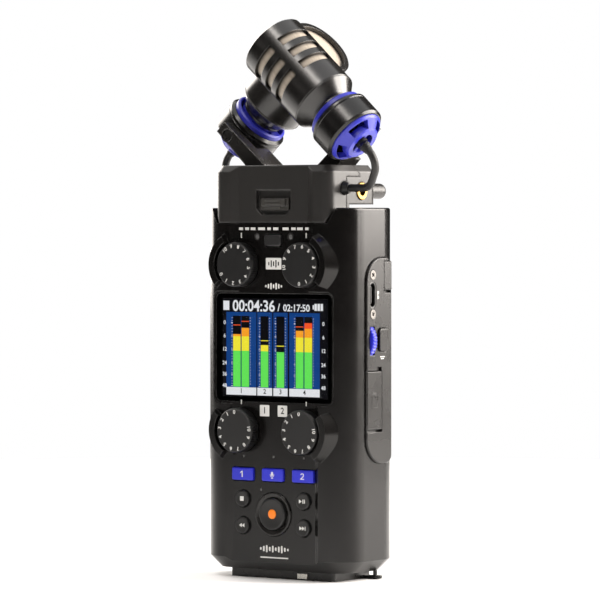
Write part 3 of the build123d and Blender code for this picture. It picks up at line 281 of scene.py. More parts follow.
def mic_tip(side):
    """Centre of a microphone's open end, in millimetres."""
    return Vector((-side * MIC_REACH, MIC_CENTRE_Y - side * MIC_SIDE, MIC_TOP))


# In metres: the pitch of the cloth's wires and of the cone's turned lines, and where along the
# barrel those lines fade in.
WIRE_PITCH, LINE_PITCH = 0.00055, 0.00042
CONE_FADE = (0.0322, 0.0328)


def woven_mesh(name, side):
    """Pale wire cloth: two sets of crossing wires with dark gaps, and painted shade near the slots'
    walls.
    """
    n = Nodes(name)
    along = tilted_axis(side)
    across = Vector((cos(TILT) * side, 0, sin(TILT)))
    heights = []
    for direction in (along + Vector((0, 1, 0)) * 0.9, along - Vector((0, 1, 0)) * 0.9, across):
        dot = n.add("ShaderNodeVectorMath", _operation="DOT_PRODUCT")
        n.tree.links.new(n.place(), dot.inputs[0])
        dot.inputs[1].default_value = direction.normalized()
        wave = n.math("SINE", n.math("MULTIPLY", dot.outputs["Value"], 2 * pi / WIRE_PITCH))
        heights.append(n.remap(wave, -1.0, 1.0, 0.0, 1.0))
    wires = n.math("MAXIMUM", heights[0], heights[1])
    wires = n.math("ADD", n.math("MULTIPLY", wires, 0.8), n.math("MULTIPLY", heights[2], 0.2))
    cloth = n.mix(n.remap(wires, 0.35, 0.8, 0.0, 1.0), (0.17, 0.145, 0.115, 1.0),
                  (0.52, 0.45, 0.37, 1.0))
    # Painted shade: the cloth is darkened to near black where the barrel's slot walls stand close
    # over it.
    slot_shade = n.add("ShaderNodeAmbientOcclusion", Distance=0.0016, _samples=8).outputs["AO"]
    n.set(Base__Color=n.mix(n.remap(slot_shade, 0.45, 0.95, 0.0, 1.0), (0.012, 0.010, 0.009, 1.0),
                            cloth))
    n.set(Metallic=0.25, Roughness=n.remap(n.noise(500.0), 0.3, 0.7, 0.42, 0.55))
    n.set(Normal=n.bump(wires, 0.5, 0.00012))
    return n.material


def turned_barrel(name, side):
    """Black coated metal with fine turned lines on the cone, a light grain elsewhere, and a painted
    highlight that makes convex edges paler.
    """
    n = Nodes(name)
    along = tilted_axis(side)
    tip = mic_tip(side) * MM
    dot = n.add("ShaderNodeVectorMath", _operation="DOT_PRODUCT")
    n.tree.links.new(n.place(), dot.inputs[0])
    dot.inputs[1].default_value = along
    distance = n.math("SUBTRACT", dot.outputs["Value"], tip.dot(along))
    on_cone = n.remap(distance, *CONE_FADE, 0.0, 1.0)
    lines = n.math("SINE", n.math("MULTIPLY", distance, 2 * pi / LINE_PITCH))
    grain = n.noise(3200.0, 2.0, 0.7)
    height = n.math("ADD", n.math("MULTIPLY", lines, on_cone), n.math("MULTIPLY", grain, 0.3))
    drift = n.remap(n.noise(40.0, 4.0), 0.3, 0.7, 0.0, 1.0)
    # Painted highlight: convex edges are painted a paler tone.
    highlight_edges = n.edge_wear(0.0005)
    tone = n.mix(drift, (0.0065, 0.0060, 0.0056, 1.0), (0.0095, 0.0086, 0.0078, 1.0))
    n.set(Base__Color=n.mix(n.math("MULTIPLY", highlight_edges, 0.6), tone, (0.022, 0.020, 0.018, 1.0)))
    n.set(Roughness=n.remap(n.noise(120.0, 3.0), 0.25, 0.75, 0.23, 0.27))
    n.shader.inputs["Specular IOR Level"].default_value = 0.7
    soft = n.add("ShaderNodeBevel", Radius=0.0003, _samples=6).outputs["Normal"]
    n.set(Normal=n.bump(height, 0.16, 0.00005, soft))
    return n.material


cover_glass = clear_glass()
display_black = moulded("display_black", (0.004, 0.004, 0.005), 0.3, grain=0.02)
MIC_MATERIALS = {}
for mic_name, mic_side in (("left", -1), ("right", 1)):
    MIC_MATERIALS[turned_barrel(f"barrel_black_{mic_name}", mic_side)] = [f"mic_barrel_{mic_name}"]
    MIC_MATERIALS[woven_mesh(f"wire_cloth_{mic_name}", mic_side)] = [f"mic_mesh_{mic_name}"]

CAD_FINISH = {
    cover_glass: ["screen_window"],
    display_black: ["display_panel"],
    **MIC_MATERIALS,
    case_black: ["front_case", "rear_case", "battery_cover"],
    capsule_black: ["capsule_front", "capsule_back"],
    latch_grey: ["capsule_latch"],
    panel_black: ["side_panel", "card_cover", "port_cover", "record_ring", "jack_housing",
                  "power_switch", "side_button", "mode_button"],
    knob_black: [name for name in nodes if name.startswith("knob_")],
    key_black: ["stop_button", "play_button", "rewind_button", "forward_button", "record_button"],
    blue_key: ["track_button_1", "track_button_mic", "track_button_2", "menu_dial"],
    blue_rubber: ["mic_mounts_left", "mic_mounts_right"],
    holder_black: ["mic_holder_left", "mic_holder_right"],
    arm_black: ["mic_arms"],
    socket_black: ["input_jacks", "capsule_socket", "gain_pots", "volume_wheel", "speaker"],
    silver: ["release_tab_1", "release_tab_2", "capsule_plug", "battery_terminals"],
    steel: ["case_screws", "socket_shells", "mic_element_left", "mic_element_right"],
    screw_black: ["pivot_screws"],
    gilt: ["input_bush", "tripod_bush"],
    board_green: ["main_board"],
    cell_wrap: ["battery_cells"],
    lamp_grey: ["indicator_lamps"],
    lead_black: ["lead_left", "lead_right", "lead_grommets"],
}
for material, names in CAD_FINISH.items():
    for name in names:
        paint(nodes[name], material)

# ------------------------------------------------------------------ shape helpers
def plane(origin, across, up):
    """Turns local (across, up, outward) in millimetres into the frame."""
    across, up = Vector(across), Vector(up)
    turn = Matrix((across, up, across.cross(up))).transposed().to_4x4()
    return Matrix.Translation(Vector(origin) * MM) @ turn @ Matrix.Scale(MM, 4)


def front(y, x=0.0, z=0.0):
    """Plane that faces forward."""
    return plane((x, y, z), (1, 0, 0), (0, 0, 1))


def back(y, x, z):
    """Plane that faces backward."""
    return plane((x, y, z), (-1, 0, 0), (0, 0, 1))


def right(x, y=0.0, z=0.0):
    """Plane that faces right."""
    return plane((x, y, z), (0, 1, 0), (0, 0, 1))


def finished(work, name):
    """Mesh data from working geometry, which is freed."""
    result = bpy.data.meshes.new(name)
    work.to_mesh(result)
    work.free()
    return result


def mesh_of(curve, at):
    """Mesh of a curve moved to its place. The curve is used up."""
    thing = bpy.data.objects.new("outline", curve)
    mesh = bpy.data.meshes.new_from_object(thing)
    mesh.transform(at)
    bpy.data.objects.remove(thing)
    bpy.data.curves.remove(curve)
    return mesh


def join(name, meshes, body, material, smooth=None):
    """One piece from several meshes, riding on a body."""
    work = bmesh.new()
    for mesh in meshes:
        work.from_mesh(mesh)
        bpy.data.meshes.remove(mesh)
    bmesh.ops.recalc_face_normals(work, faces=work.faces)
    result = finished(work, name)
    if smooth is not None:
        result.shade_smooth()
        result.set_sharp_from_angle(angle=radians(smooth))
    piece = add_object(name, result)
    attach(piece, body)
    return paint(piece, material)


def lathe(profile, at, steps=64, knurl=0.0, teeth=4, closed=False):
    """Turned shape about a plane's outward axis. profile is (outward, radius[, knurled]).

    knurl is how deep the grooves of the knurled rings are, and teeth the steps from one to the next.
    """
    mesh = bmesh.new()
    rings = []
    for outward, radius, *knurled in profile:
        if radius == 0:
            rings.append([mesh.verts.new((0, 0, outward))])
            continue
        ring = []
        for index in range(steps):
            reach = radius - (knurl if knurled and index % teeth >= teeth / 2 else 0.0)
            angle = 2 * pi * index / steps
            ring.append(mesh.verts.new((reach * cos(angle), reach * sin(angle), outward)))
        rings.append(ring)
    pairs = list(zip(rings, rings[1:] + rings[:1] if closed else rings[1:]))
    for first, second in pairs:
        for index in range(steps):
            following = (index + 1) % steps
            corners = [first[index % len(first)], first[following % len(first)],
                       second[following % len(second)], second[index % len(second)]]
            corners = list(dict.fromkeys(corners))
            if len(corners) > 2:
                mesh.faces.new(corners)
    mesh.transform(at)
    return finished(mesh, "turned")


def plate(loops, low, high, at, edge=0.0):
    """Flat plate from closed outlines; an outline inside another is a hole."""
    curve = bpy.data.curves.new("outline", "CURVE")
    curve.dimensions = "2D"
    curve.fill_mode = "BOTH"
    curve.extrude = (high - low) / 2 - edge
    curve.bevel_depth = edge
    curve.bevel_resolution = 2
    curve.offset = -edge
    for loop in loops:
        spline = curve.splines.new("POLY")
        spline.points.add(len(loop) - 1)
        for point, (across, up) in zip(spline.points, loop):
            point.co = (across, up, 0, 1)
        spline.use_cyclic_u = True
    return mesh_of(curve, at @ Matrix.Translation((0, 0, (low + high) / 2)))


def lettering(words, size, at, across, up, low, high, turn=0.0):
    """Figures as a thin raised print, centred on a point."""
    curve = bpy.data.curves.new("figures", "FONT")
    curve.body = words
    curve.size = size
    curve.align_x = "CENTER"
    curve.align_y = "CENTER"
    curve.resolution_u = 3
    curve.extrude = (high - low) / 2
    curve.offset = 0.02 * size
    return mesh_of(curve, at @ Matrix.Translation((across, up, (low + high) / 2))
                   @ Matrix.Rotation(turn, 4, "Z"))


def box_loop(across, up, width, height, corner=0.0):
    """Rectangle about a point, with round corners if asked."""
    steps = 5
    half_w, half_h = width / 2 - corner, height / 2 - corner
    if corner == 0:
        return [(across + sx * half_w, up + sy * half_h)
                for sx, sy in ((-1, -1), (1, -1), (1, 1), (-1, 1))]
    points = []
    for quarter, (sx, sy) in enumerate(((1, 1), (-1, 1), (-1, -1), (1, -1))):
        for step in range(steps + 1):
            angle = (quarter + step / steps) * pi / 2
            points.append((across + sx * half_w + corner * cos(angle),
                           up + sy * half_h + corner * sin(angle)))
    return points


def round_loop(radius, steps):
    """Circle about the origin."""
    return [(radius * cos(2 * pi * i / steps), radius * sin(2 * pi * i / steps))
            for i in range(steps)]


def bars(places, up, width, corner=0.0):
    """Row of upright bars; places holds each one's (across, height)."""
    return [box_loop(across, up, width, height, corner) for across, height in places]


def shifted(loop, across, up):
    """Outline moved by (across, up)."""
    return [(x + across, y + up) for x, y in loop]


# ------------------------------------------------------------------ gain knobs
# The front face of the case, 0.7 mm behind the front of the record ring.
RING_PROUD = 0.7
PANEL_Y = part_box("record_ring")[0].y / MM + RING_PROUD
# The setting that each knob shows, from 0 to 10.
KNOBS = {"knob_upper_left": 8.6, "knob_upper_right": 6.45, "knob_lower_left": 0.0,
         "knob_lower_right": 0.0}
FIGURE_STEP = radians(27.8)
FIGURE_RADIUS, FIGURE_SIZE = 6.95, 2.15
SKIRT_DEPTH = 4.4


def build_knob(node, value):
    """Knurled cap, with its figures turned so that value is at the top."""
    low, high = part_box(node)
    at = front(0, middle(node).x / MM, middle(node).z / MM)
    face, rear = -low.y / MM, -high.y / MM
    skirt = face - SKIRT_DEPTH
    profile = [(rear, 0), (rear, 3.0), (skirt, 3.0), (skirt, 8.1), (skirt + 0.3, 8.4, 1),
               (face - 0.7, 8.44, 1), (face - 0.3, 8.25, 1), (face - 0.05, 7.95), (face, 7.8),
               (face, 7.7), (face - 0.08, 7.6), (face - 0.08, 0)]
    cap = join(f"{node}_cap", [lathe(profile, at, steps=288, knurl=0.22)], node, knob_black, 32)
    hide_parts(node)
    figures = []
    for number in range(11):
        angle = pi / 2 + (number - value) * FIGURE_STEP
        figures.append(lettering(str(number), FIGURE_SIZE, at, FIGURE_RADIUS * cos(angle),
                                 FIGURE_RADIUS * sin(angle), face - 0.09, face - 0.04,
                                 angle - pi / 2))
    join(f"{node}_figures", figures, node, white_ink)


for node, value in KNOBS.items():
    build_knob(node, value)

# ------------------------------------------------------------------ keys on the front
# Turned profiles: (outward from the front face, radius), in millimetres.
ROUND_KEY = [(-1.2, 0), (-1.2, 3.05), (0.75, 3.1), (1.02, 3.0), (1.16, 2.8), (1.2, 2.55),
             (1.17, 2.3), (1.08, 1.7), (1.03, 0.9), (1.02, 0)]
RECORD_KEY = [(-1.2, 0), (-1.2, 5.9), (0.9, 5.94), (1.22, 5.82), (1.37, 5.6), (1.4, 5.3),
              (1.34, 4.9), (1.12, 3.6), (1.0, 2.3), (1.0, 1.85), (0.8, 1.82), (0.8, 0)]
RECORD_DOT = [(0.7, 0), (0.7, 1.8), (1.1, 1.78), (1.26, 1.55), (1.33, 1.0), (1.36, 0)]
RECORD_RING = [(-0.1, 6.25), (-0.1, 8.2), (0.35, 8.24), (0.58, 8.1), (0.69, 7.8), (0.66, 7.5),
               (0.42, 6.9), (0.36, 6.4), (0.3, 6.25)]
# Outlines on the keys, in millimetres about the key's middle.
TRIANGLE = [(-0.55, -0.75), (0.65, 0.0), (-0.55, 0.75)]
MIRRORED = [(-x, y) for x, y in TRIANGLE]


def key_place(node):
    """Plane on the front face, at a key's middle."""
    return front(PANEL_Y, middle(node).x / MM, middle(node).z / MM)


def build_round_key(node, icon):
    """Round rubber key with a printed outline."""
    cap = join(f"{node}_cap", [lathe(ROUND_KEY, key_place(node))], node, key_black, 40)
    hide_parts(node)
    join(f"{node}_icon", [plate(icon, 1.0, 1.12, key_place(node))], node, white_ink)


build_round_key("stop_button", [box_loop(0, 0, 1.7, 1.7)])
build_round_key("play_button", [shifted(TRIANGLE, -1.0, 0), box_loop(0.25, 0, 0.35, 1.5),
                                box_loop(0.95, 0, 0.35, 1.5)])
build_round_key("rewind_button", [shifted(MIRRORED, -0.6, 0), shifted(MIRRORED, 0.65, 0)])
build_round_key("forward_button", [shifted(TRIANGLE, -0.8, 0), shifted(TRIANGLE, 0.4, 0),
                                   box_loop(1.3, 0, 0.3, 1.5)])

record_cap = join("record_button_cap", [lathe(RECORD_KEY, key_place("record_button"), steps=96)],
                  "record_button", key_black, 40)
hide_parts("record_button")
join("record_dot", [lathe(RECORD_DOT, key_place("record_button"), steps=48)], "record_button",
     orange_dot, 40)
bezel = join("record_bezel", [lathe(RECORD_RING, key_place("record_ring"), steps=96, closed=True)],
             "recorder", panel_black, 30)
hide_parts("record_ring")

TRACK_ICONS = {
    "track_button_1": [[(-0.95, 0.5), (-0.15, 1.15), (0.25, 1.15), (0.25, -1.2), (-0.2, -1.2),
                        (-0.2, 0.62), (-0.95, 0.15)]],
    "track_button_mic": [
        box_loop(0, 0.45, 0.95, 1.6, 0.45),
        [(-0.95, 0.35), (-0.75, 0.35), (-0.7, -0.15), (-0.4, -0.5), (0, -0.6), (0.4, -0.5),
         (0.7, -0.15), (0.75, 0.35), (0.95, 0.35), (0.9, -0.25), (0.55, -0.68), (0.12, -0.8),
         (0.12, -1.1), (0.5, -1.1), (0.5, -1.3), (-0.5, -1.3), (-0.5, -1.1), (-0.12, -1.1),
         (-0.12, -0.8), (-0.55, -0.68), (-0.9, -0.25)]],
    "track_button_2": [[(-0.85, 0.6), (-0.5, 1.1), (0.1, 1.22), (0.65, 0.95), (0.8, 0.4),
                        (0.6, -0.1), (-0.25, -0.85), (0.85, -0.85), (0.85, -1.2), (-0.9, -1.2),
                        (-0.9, -0.9), (0.25, 0.1), (0.42, 0.45), (0.28, 0.78), (-0.05, 0.88),
                        (-0.35, 0.75), (-0.5, 0.5)]],
}
for node, icon in TRACK_ICONS.items():
    outline = box_loop(0, 0, 9.9, 4.75, 0.7)
    cap = join(f"{node}_cap", [plate([outline], -1.2, 1.0, key_place(node), 0.42)], node,
               blue_key, 50)
    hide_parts(node)
    join(f"{node}_icon", [plate(icon, 0.95, 1.03, key_place(node))], node, white_ink)

outline = box_loop(0, 0, 7.95, 4.35, 1.3)
mode_cap = join("mode_button_cap", [plate([outline], -1.2, 0.9, key_place("mode_button"), 0.5)],
                "mode_button", mode_black, 50)
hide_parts("mode_button")

# ------------------------------------------------------------------ prints and lamps on the front
face = front(PANEL_Y)
knob_x = abs(place_of("knob_upper_left").x)
upper_z, lower_z = place_of("knob_upper_left").z, place_of("knob_lower_left").z
# Rows of marks that stand for the words: (across, width) for the dashes, (across, height) for bars.
DASHES = [(-15.6, 2.6), (-12.4, 1.8), (-9.6, 2.2), (-5.6, 3.2), (-2.1, 1.6), (1.0, 2.4), (5.6, 2.8),
          (9.2, 2.0), (12.2, 2.6), (15.6, 2.0)]
BADGE_BARS = [(-3.6, 0.9), (-2.4, 1.7), (-1.2, 2.4), (0.0, 1.5), (1.2, 2.4), (2.4, 1.7), (3.6, 0.9)]
TAG_BARS = [(-2.2, 1.2), (-1.1, 2.4), (0.0, 1.7), (1.1, 2.8), (2.2, 1.4)]
FOOT_BARS = [(-6.0, 1.0), (-4.6, 2.0), (-3.2, 2.7), (-1.8, 1.6), (-0.4, 2.5), (1.0, 1.3), (2.4, 2.2),
             (3.8, 2.8), (5.2, 1.5), (6.6, 0.9)]
# Each numbered tag: its figure, and how far across its middle is.
TRACK_TAGS = {"1": -4.2, "2": 4.1}
PRINT_LOW, PRINT_HIGH, FIGURE_HIGH = -0.02, 0.03, 0.05
TAG_RISE, TRACK_TAG_RISE = 0.4, 7.6

ticks = [box_loop(side * knob_x, upper_z + 10.9, 0.55, 1.9) for side in (-1, 1)]
ticks += [box_loop(side * knob_x, lower_z + 10.6, 0.45, 1.6) for side in (-1, 1)]
dashes = [box_loop(x, upper_z + 13.4, width, 1.0) for x, width in DASHES]
badge = bars(BADGE_BARS, upper_z - 8.0, 0.7, 0.3)
tag = [box_loop(0.0, upper_z + TAG_RISE, 7.2, 4.3, 0.3), *bars(TAG_BARS, upper_z + TAG_RISE, 0.55)]
track_tags = [box_loop(x, lower_z + TRACK_TAG_RISE, 4.4, 4.2, 0.25) for x in TRACK_TAGS.values()]
foot_marks = [*bars(FOOT_BARS, 11.4, 0.8, 0.35), box_loop(0.3, 8.2, 13.0, 0.5)]
join("front_prints", [plate(loops, PRINT_LOW, PRINT_HIGH, face)
                      for loops in (ticks + dashes + badge + foot_marks, tag, track_tags)],
     "recorder", white_ink)
join("tag_figures", [lettering(figure, 3.3, face, x, lower_z + TRACK_TAG_RISE, PRINT_HIGH,
                               FIGURE_HIGH) for figure, x in TRACK_TAGS.items()],
     "recorder", key_black)

# Indicator lamps in millimetres: (across, height above the floor, radius).
LAMPS = [(-7.7, 127.9, 1.2), (7.9, 127.9, 1.2), (-14.0, 45.8, 0.6), (0.0, 45.8, 0.6),
         (14.0, 45.8, 0.6), (-5.9, 33.4, 0.7)]
lenses, collars = [], []
for x, z, radius in LAMPS:
    at = front(PANEL_Y, x, z)
    lenses.append(lathe([(-0.6, 0), (-0.6, 0.7 * radius), (0.0, 0.7 * radius), (0.12, 0.5 * radius),
                         (0.17, 0)], at, steps=32))
    collars.append(lathe([(-0.3, 0.72 * radius), (-0.3, radius), (0.03, radius),
                          (0.1, 0.92 * radius), (0.1, 0.8 * radius), (0.0, 0.72 * radius)], at,
                         steps=32, closed=True))
lens = join("lamp_lenses", lenses, "recorder", lamp_grey, 40)
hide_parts("indicator_lamps")
join("lamp_collars", collars, "recorder", panel_black, 40)

# ------------------------------------------------------------------ picture on the display
# Places on the picture are in millimetres, across from its left edge and down from its top.
PICTURE_WIDTH, PICTURE_HEIGHT = 48.8, 36.6
screen_z = place_of("screen_window").z
picture = front(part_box("display_panel")[0].y / MM)


def cell(left_edge, top, width, height):
    """Rectangle on the picture."""
    return box_loop(left_edge + width / 2 - PICTURE_WIDTH / 2,
                    screen_z + PICTURE_HEIGHT / 2 - top - height / 2, width, height)


def picture_words(words, size, across, down, low=0.05, high=0.065):
    """Figures about a point on the picture."""
    return lettering(words, size, picture, across - PICTURE_WIDTH / 2,
                     screen_z + PICTURE_HEIGHT / 2 - down, low, high)


def picture_part(name, meshes, colour, strength=1.0):
    """Lit piece of the picture."""
    join(f"picture_{name}", meshes, "recorder", glow(f"picture_{name}", colour, strength))


# Left edge, level and held peak of each meter. A peak of 0 means that none is held.
METERS = [(4.8, 13.4, 9.8), (8.8, 11.0, 8.4), (17.8, 17.3, 15.5), (25.2, 19.8, 17.4),
          (34.1, 11.7, 10.1), (38.1, 8.8, 0)]
METER_WIDTH, METER_TOP, METER_FOOT = 3.75, 6.5, 33.1
BAR_INSET, PEAK_HEIGHT = 0.12, 0.32
# Left edge and width of each track's blue column.
COLUMNS = [(1.7, 14.1), (16.3, 6.9), (23.8, 6.6), (31.2, 14.0)]
# Colour bands of the meters: name, top, foot and colour.
BANDS = [("green", 19.6, METER_FOOT, (0.13, 0.78, 0.10)),
         ("yellow", 14.2, 19.6, (0.90, 0.80, 0.04)),
         ("amber", 10.9, 14.2, (0.95, 0.36, 0.02)), ("red", 6.4, 10.9, (0.9, 0.09, 0.02))]
SCALE_ROWS = {"0": 9.1, "6": 14.1, "12": 19.1, "24": 24.3, "36": 28.5, "48": 32.8}
TICK_PITCH = 1.03
# Heights above the display's face of what is drawn over what.
GROUND, COLUMN, SLOT = (0.005, 0.02), (0.02, 0.033), (0.033, 0.046)
PAINT, LABEL = (0.046, 0.058), (0.058, 0.068)

picture_part("ground", [plate([cell(0, 0, PICTURE_WIDTH, PICTURE_HEIGHT)], *GROUND, picture)],
             (0.004, 0.004, 0.006))
picture_part("blue", [plate([cell(edge, 5.1, width, 28.5) for edge, width in COLUMNS], *COLUMN,
                            picture)], (0.006, 0.055, 0.25))
picture_part("slots", [plate([cell(edge, METER_TOP, METER_WIDTH, METER_FOOT - METER_TOP)
                              for edge, _, _ in METERS], *SLOT, picture)], (0.003, 0.003, 0.004))
bar_width = METER_WIDTH - 2 * BAR_INSET
for tint, top, foot, colour in BANDS:
    lit = [cell(edge + BAR_INSET, max(top, level), bar_width, foot - max(top, level))
           for edge, level, _ in METERS if level < foot]
    lit += [cell(edge + BAR_INSET, peak, bar_width, PEAK_HEIGHT)
            for edge, _, peak in METERS if top <= peak < foot]
    picture_part(tint, [plate(lit, *PAINT, picture)], colour, 1.1)

# A plain block at the top left and the battery sign, then the columns' feet and the scales.
white_cells = [cell(0.3, 0.9, 2.8, 3.5), cell(42.0, 2.1, 0.6, 1.6)]
white_cells += [cell(42.8 + 1.4 * index, 1.6, 1.1, 2.6) for index in range(3)]
white_cells += [cell(edge, 33.3, width, 2.9) for edge, width in COLUMNS]
white_cells += [cell(edge, row - 0.1, 0.7, 0.2) for row in SCALE_ROWS.values()
                for edge in (4.0, 17.0, 24.4, 33.3)]
white_cells += [cell(edge, 7.2 + TICK_PITCH * index, 0.4, 0.16) for index in range(25)
                for edge in (4.2, 12.8, 17.2, 21.8, 24.6, 29.2, 33.5, 42.1)]
words = [picture_words("00:04:36", 5.8, 14.6, 2.9), picture_words("02:17:50", 3.6, 34.5, 3.4),
         picture_words("/", 3.8, 26.3, 3.3)]
words += [picture_words(label, 2.0, across, row) for label, row in SCALE_ROWS.items()
          for across in (0.9, 46.9)]
picture_part("white", [plate(white_cells, *PAINT, picture), *words], (0.85, 0.87, 0.9))
labels = [picture_words(str(number), 2.5, edge + width / 2, 34.7, *LABEL)
          for number, (edge, width) in enumerate(COLUMNS, 1)]
picture_part("labels", labels, (0.01, 0.01, 0.012))

# ------------------------------------------------------------------ thumb wheels
def build_wheel(node, radius, material):
    """Thumb wheel with a knurled rim on a thin axle."""
    x, y, z = place_of(node)
    half = (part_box(node)[1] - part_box(node)[0]).y / 2 / MM
    profile = [(-half, 0), (-half, 1.2), (-1.3, 1.2), (-1.3, radius - 1.6), (-1.2, radius - 1.4),
               (-1.3, radius - 0.5), (-0.95, radius - 0.05, 1), (0.0, radius, 1),
               (0.95, radius - 0.05, 1), (1.3, radius - 0.5), (1.2, radius - 1.4),
               (1.3, radius - 1.6), (1.3, 1.2), (half, 1.2), (half, 0)]
    wheel = join(f"{node}_rim", [lathe(profile, front(y, x, z), steps=240, knurl=0.28, teeth=6)],
                 node, material, 35)
    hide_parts(node)


build_wheel("menu_dial", 8.0, blue_key)
build_wheel("volume_wheel", 7.5, socket_black)

# ------------------------------------------------------------------ screws
# Cross recess of a head of radius CROSS_HEAD, in millimetres.
CROSS_HEAD = 1.85
CROSS = [(-0.22, -0.85), (0.22, -0.85), (0.22, -0.22), (0.85, -0.22), (0.85, 0.22), (0.22, 0.22),
         (0.22, 0.85), (-0.22, 0.85), (-0.22, 0.22), (-0.85, 0.22), (-0.85, -0.22), (-0.22, -0.22)]


def screw_head(at, radius, depth, turn):
    """Pan head with a cross recess."""
    spun = at @ Matrix.Rotation(turn, 4, "Z")
    scale = radius / CROSS_HEAD
    cross = [(x * scale, y * scale) for x, y in CROSS]
    return [plate([round_loop(radius, 40), cross], -depth, 0.0, spun, 0.12),
            lathe([(-depth - 0.5, 0), (-depth - 0.5, radius), (-depth, radius), (-depth, 0)], spun,
                  steps=40)]


# Rear screws: (across, height, turn of the cross). Side-panel screws: (height, turn).
REAR_SCREWS = [(-18.0, 12.0, 0.4), (18.0, 12.0, 1.1), (-18.0, 132.0, 0.7), (18.0, 132.0, 0.2)]
SIDE_SCREWS = [(99.2, 0.5), (113.8, 0.9)]
# The row that holds the side panel's screws and the USB-C opening, and that opening's height.
SIDE_ROW_Y, USB_Z = -2.7, 106.35

screw_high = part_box("case_screws")[1] / MM
heads = []
for x, z, turn in REAR_SCREWS:
    heads += screw_head(back(screw_high.y, x, z), 2.0, 0.7, turn)
for z, turn in SIDE_SCREWS:
    heads += screw_head(right(screw_high.x, SIDE_ROW_Y, z), 1.8, 0.6, turn)
screws = join("case_screw_heads", heads, "recorder", bright_steel, 40)
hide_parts("case_screws")

# ------------------------------------------------------------------ microphone leads
# In millimetres. Along the microphone's axis: where its gland ends, and how far past that the lead
# turns. Then the lead's bend and own radius, the capsule's grommet, and the lead's outermost corner.
GLAND_END, LEAD_TURN, LEAD_BEND, LEAD_RADIUS = 57.2, 8.0, 6.2, 1.45
GROMMET = (28.8, -9.0, 146.0)
LEAD_LOW_X = 38.4
LEAD_SPACING, JACKET_GAP = 0.3, 0.02
# Boots: how many rings and how far apart, then the first ring's radius.
MIC_BOOT_RINGS, MIC_BOOT_STEP, MIC_BOOT_RADIUS = 46, 0.1, 2.4
BOOT_RINGS, BOOT_STEP, BOOT_RADIUS, BOOT_STRAIGHT = 33, 0.15, 2.58, 18


def rounded_route(corners, radius):
    """Points along straight runs joined by arcs."""
    steps = 14
    points = [corners[0]]
    for before, corner, after in zip(corners, corners[1:], corners[2:]):
        to_before, to_after = (before - corner).normalized(), (after - corner).normalized()
        half = to_before.angle(to_after) / 2
        centre = corner + (to_before + to_after).normalized() * radius / sin(half)
        start = corner + to_before * radius / tan(half) - centre
        end = corner + to_after * radius / tan(half) - centre
        points += [centre + start.slerp(end, step / steps).normalized() * radius
                   for step in range(steps + 1)]
    return points + [corners[-1]]


def resampled(points, spacing):
    """Points at even spacing along a run, with both its ends."""
    result, carry = [points[0]], 0.0
    for first, second in zip(points, points[1:]):
        length = (second - first).length
        distance = spacing - carry
        while distance < length:
            result.append(first.lerp(second, distance / length))
            distance += spacing
        carry = (carry + length) % spacing
    return result + [points[-1]]


def tube(points, radii, sides=20):
    """Round tube through points, with its own radius at each."""
    mesh = bmesh.new()
    rings = []
    normal = None
    for index, point in enumerate(points):
        along = (points[min(index + 1, len(points) - 1)] - points[max(index - 1, 0)]).normalized()
        if normal is None:
            normal = along.orthogonal().normalized()
        else:
            normal = (normal - along * normal.dot(along)).normalized()
        across = along.cross(normal)
        ring = []
        for i in range(sides):
            angle = 2 * pi * i / sides
            spoke = normal * cos(angle) + across * sin(angle)
            ring.append(mesh.verts.new((point + spoke * radii[index]) * MM))
        rings.append(ring)
    for first, second in zip(rings, rings[1:]):
        for i in range(sides):
            j = (i + 1) % sides
            mesh.faces.new((first[i], first[j], second[j], second[i]))
    mesh.faces.new(rings[0])
    mesh.faces.new(rings[-1])
    return finished(mesh, "tube")


def build_lead(name, side):
    """One lead's jacket with a boot at each end. Returns the capsule's boot."""
    along = tilted_axis(side)
    tip = mic_tip(side)
    grommet = Vector((side * GROMMET[0], side * GROMMET[1], GROMMET[2]))
    corners = [tip + along * (GLAND_END + 0.02), tip + along * (GLAND_END + LEAD_TURN),
               Vector((side * LEAD_LOW_X, grommet.y, grommet.z)), grommet]
    points = resampled(rounded_route(corners, LEAD_BEND), LEAD_SPACING)
    radii = [LEAD_RADIUS - JACKET_GAP] * len(points)
    lead = join(f"lead_{name}_jacket", [tube(points, radii)], "capsule", lead_black, 60)
    # The jacket bends between two bodies, so it is taken off the one that it rides.
    world = lead.matrix_world.copy()
    lead.parent = None
    lead.matrix_world = world
    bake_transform(lead)
    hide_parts(f"lead_{name}")
    # Ribbed boot on the microphone and a tapered one on the capsule.
    run = [tip + along * (GLAND_END - 2.4 + MIC_BOOT_STEP * step) for step in range(MIC_BOOT_RINGS)]
    radii = [MIC_BOOT_RADIUS - 0.016 * step - (0.22 if step % 8 in (0, 1, 2) and step > 12 else 0.0)
             for step in range(MIC_BOOT_RINGS)]
    join(f"mic_{name}_boot", [tube(run, radii, 28)], f"mic_{name}", lead_black, 50)
    outward = Vector((side, 0, 0))
    root = grommet - outward * 4.2
    run = [root + outward * (BOOT_STEP * step) for step in range(BOOT_RINGS)]
    radii = [BOOT_RADIUS - 0.055 * max(0, step - BOOT_STRAIGHT) for step in range(BOOT_RINGS)]
    return join(f"lead_{name}_boot", [tube(run, radii, 24)], "capsule", lead_black, 50)


boots = [build_lead("left", -1), build_lead("right", 1)]
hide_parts("lead_grommets")

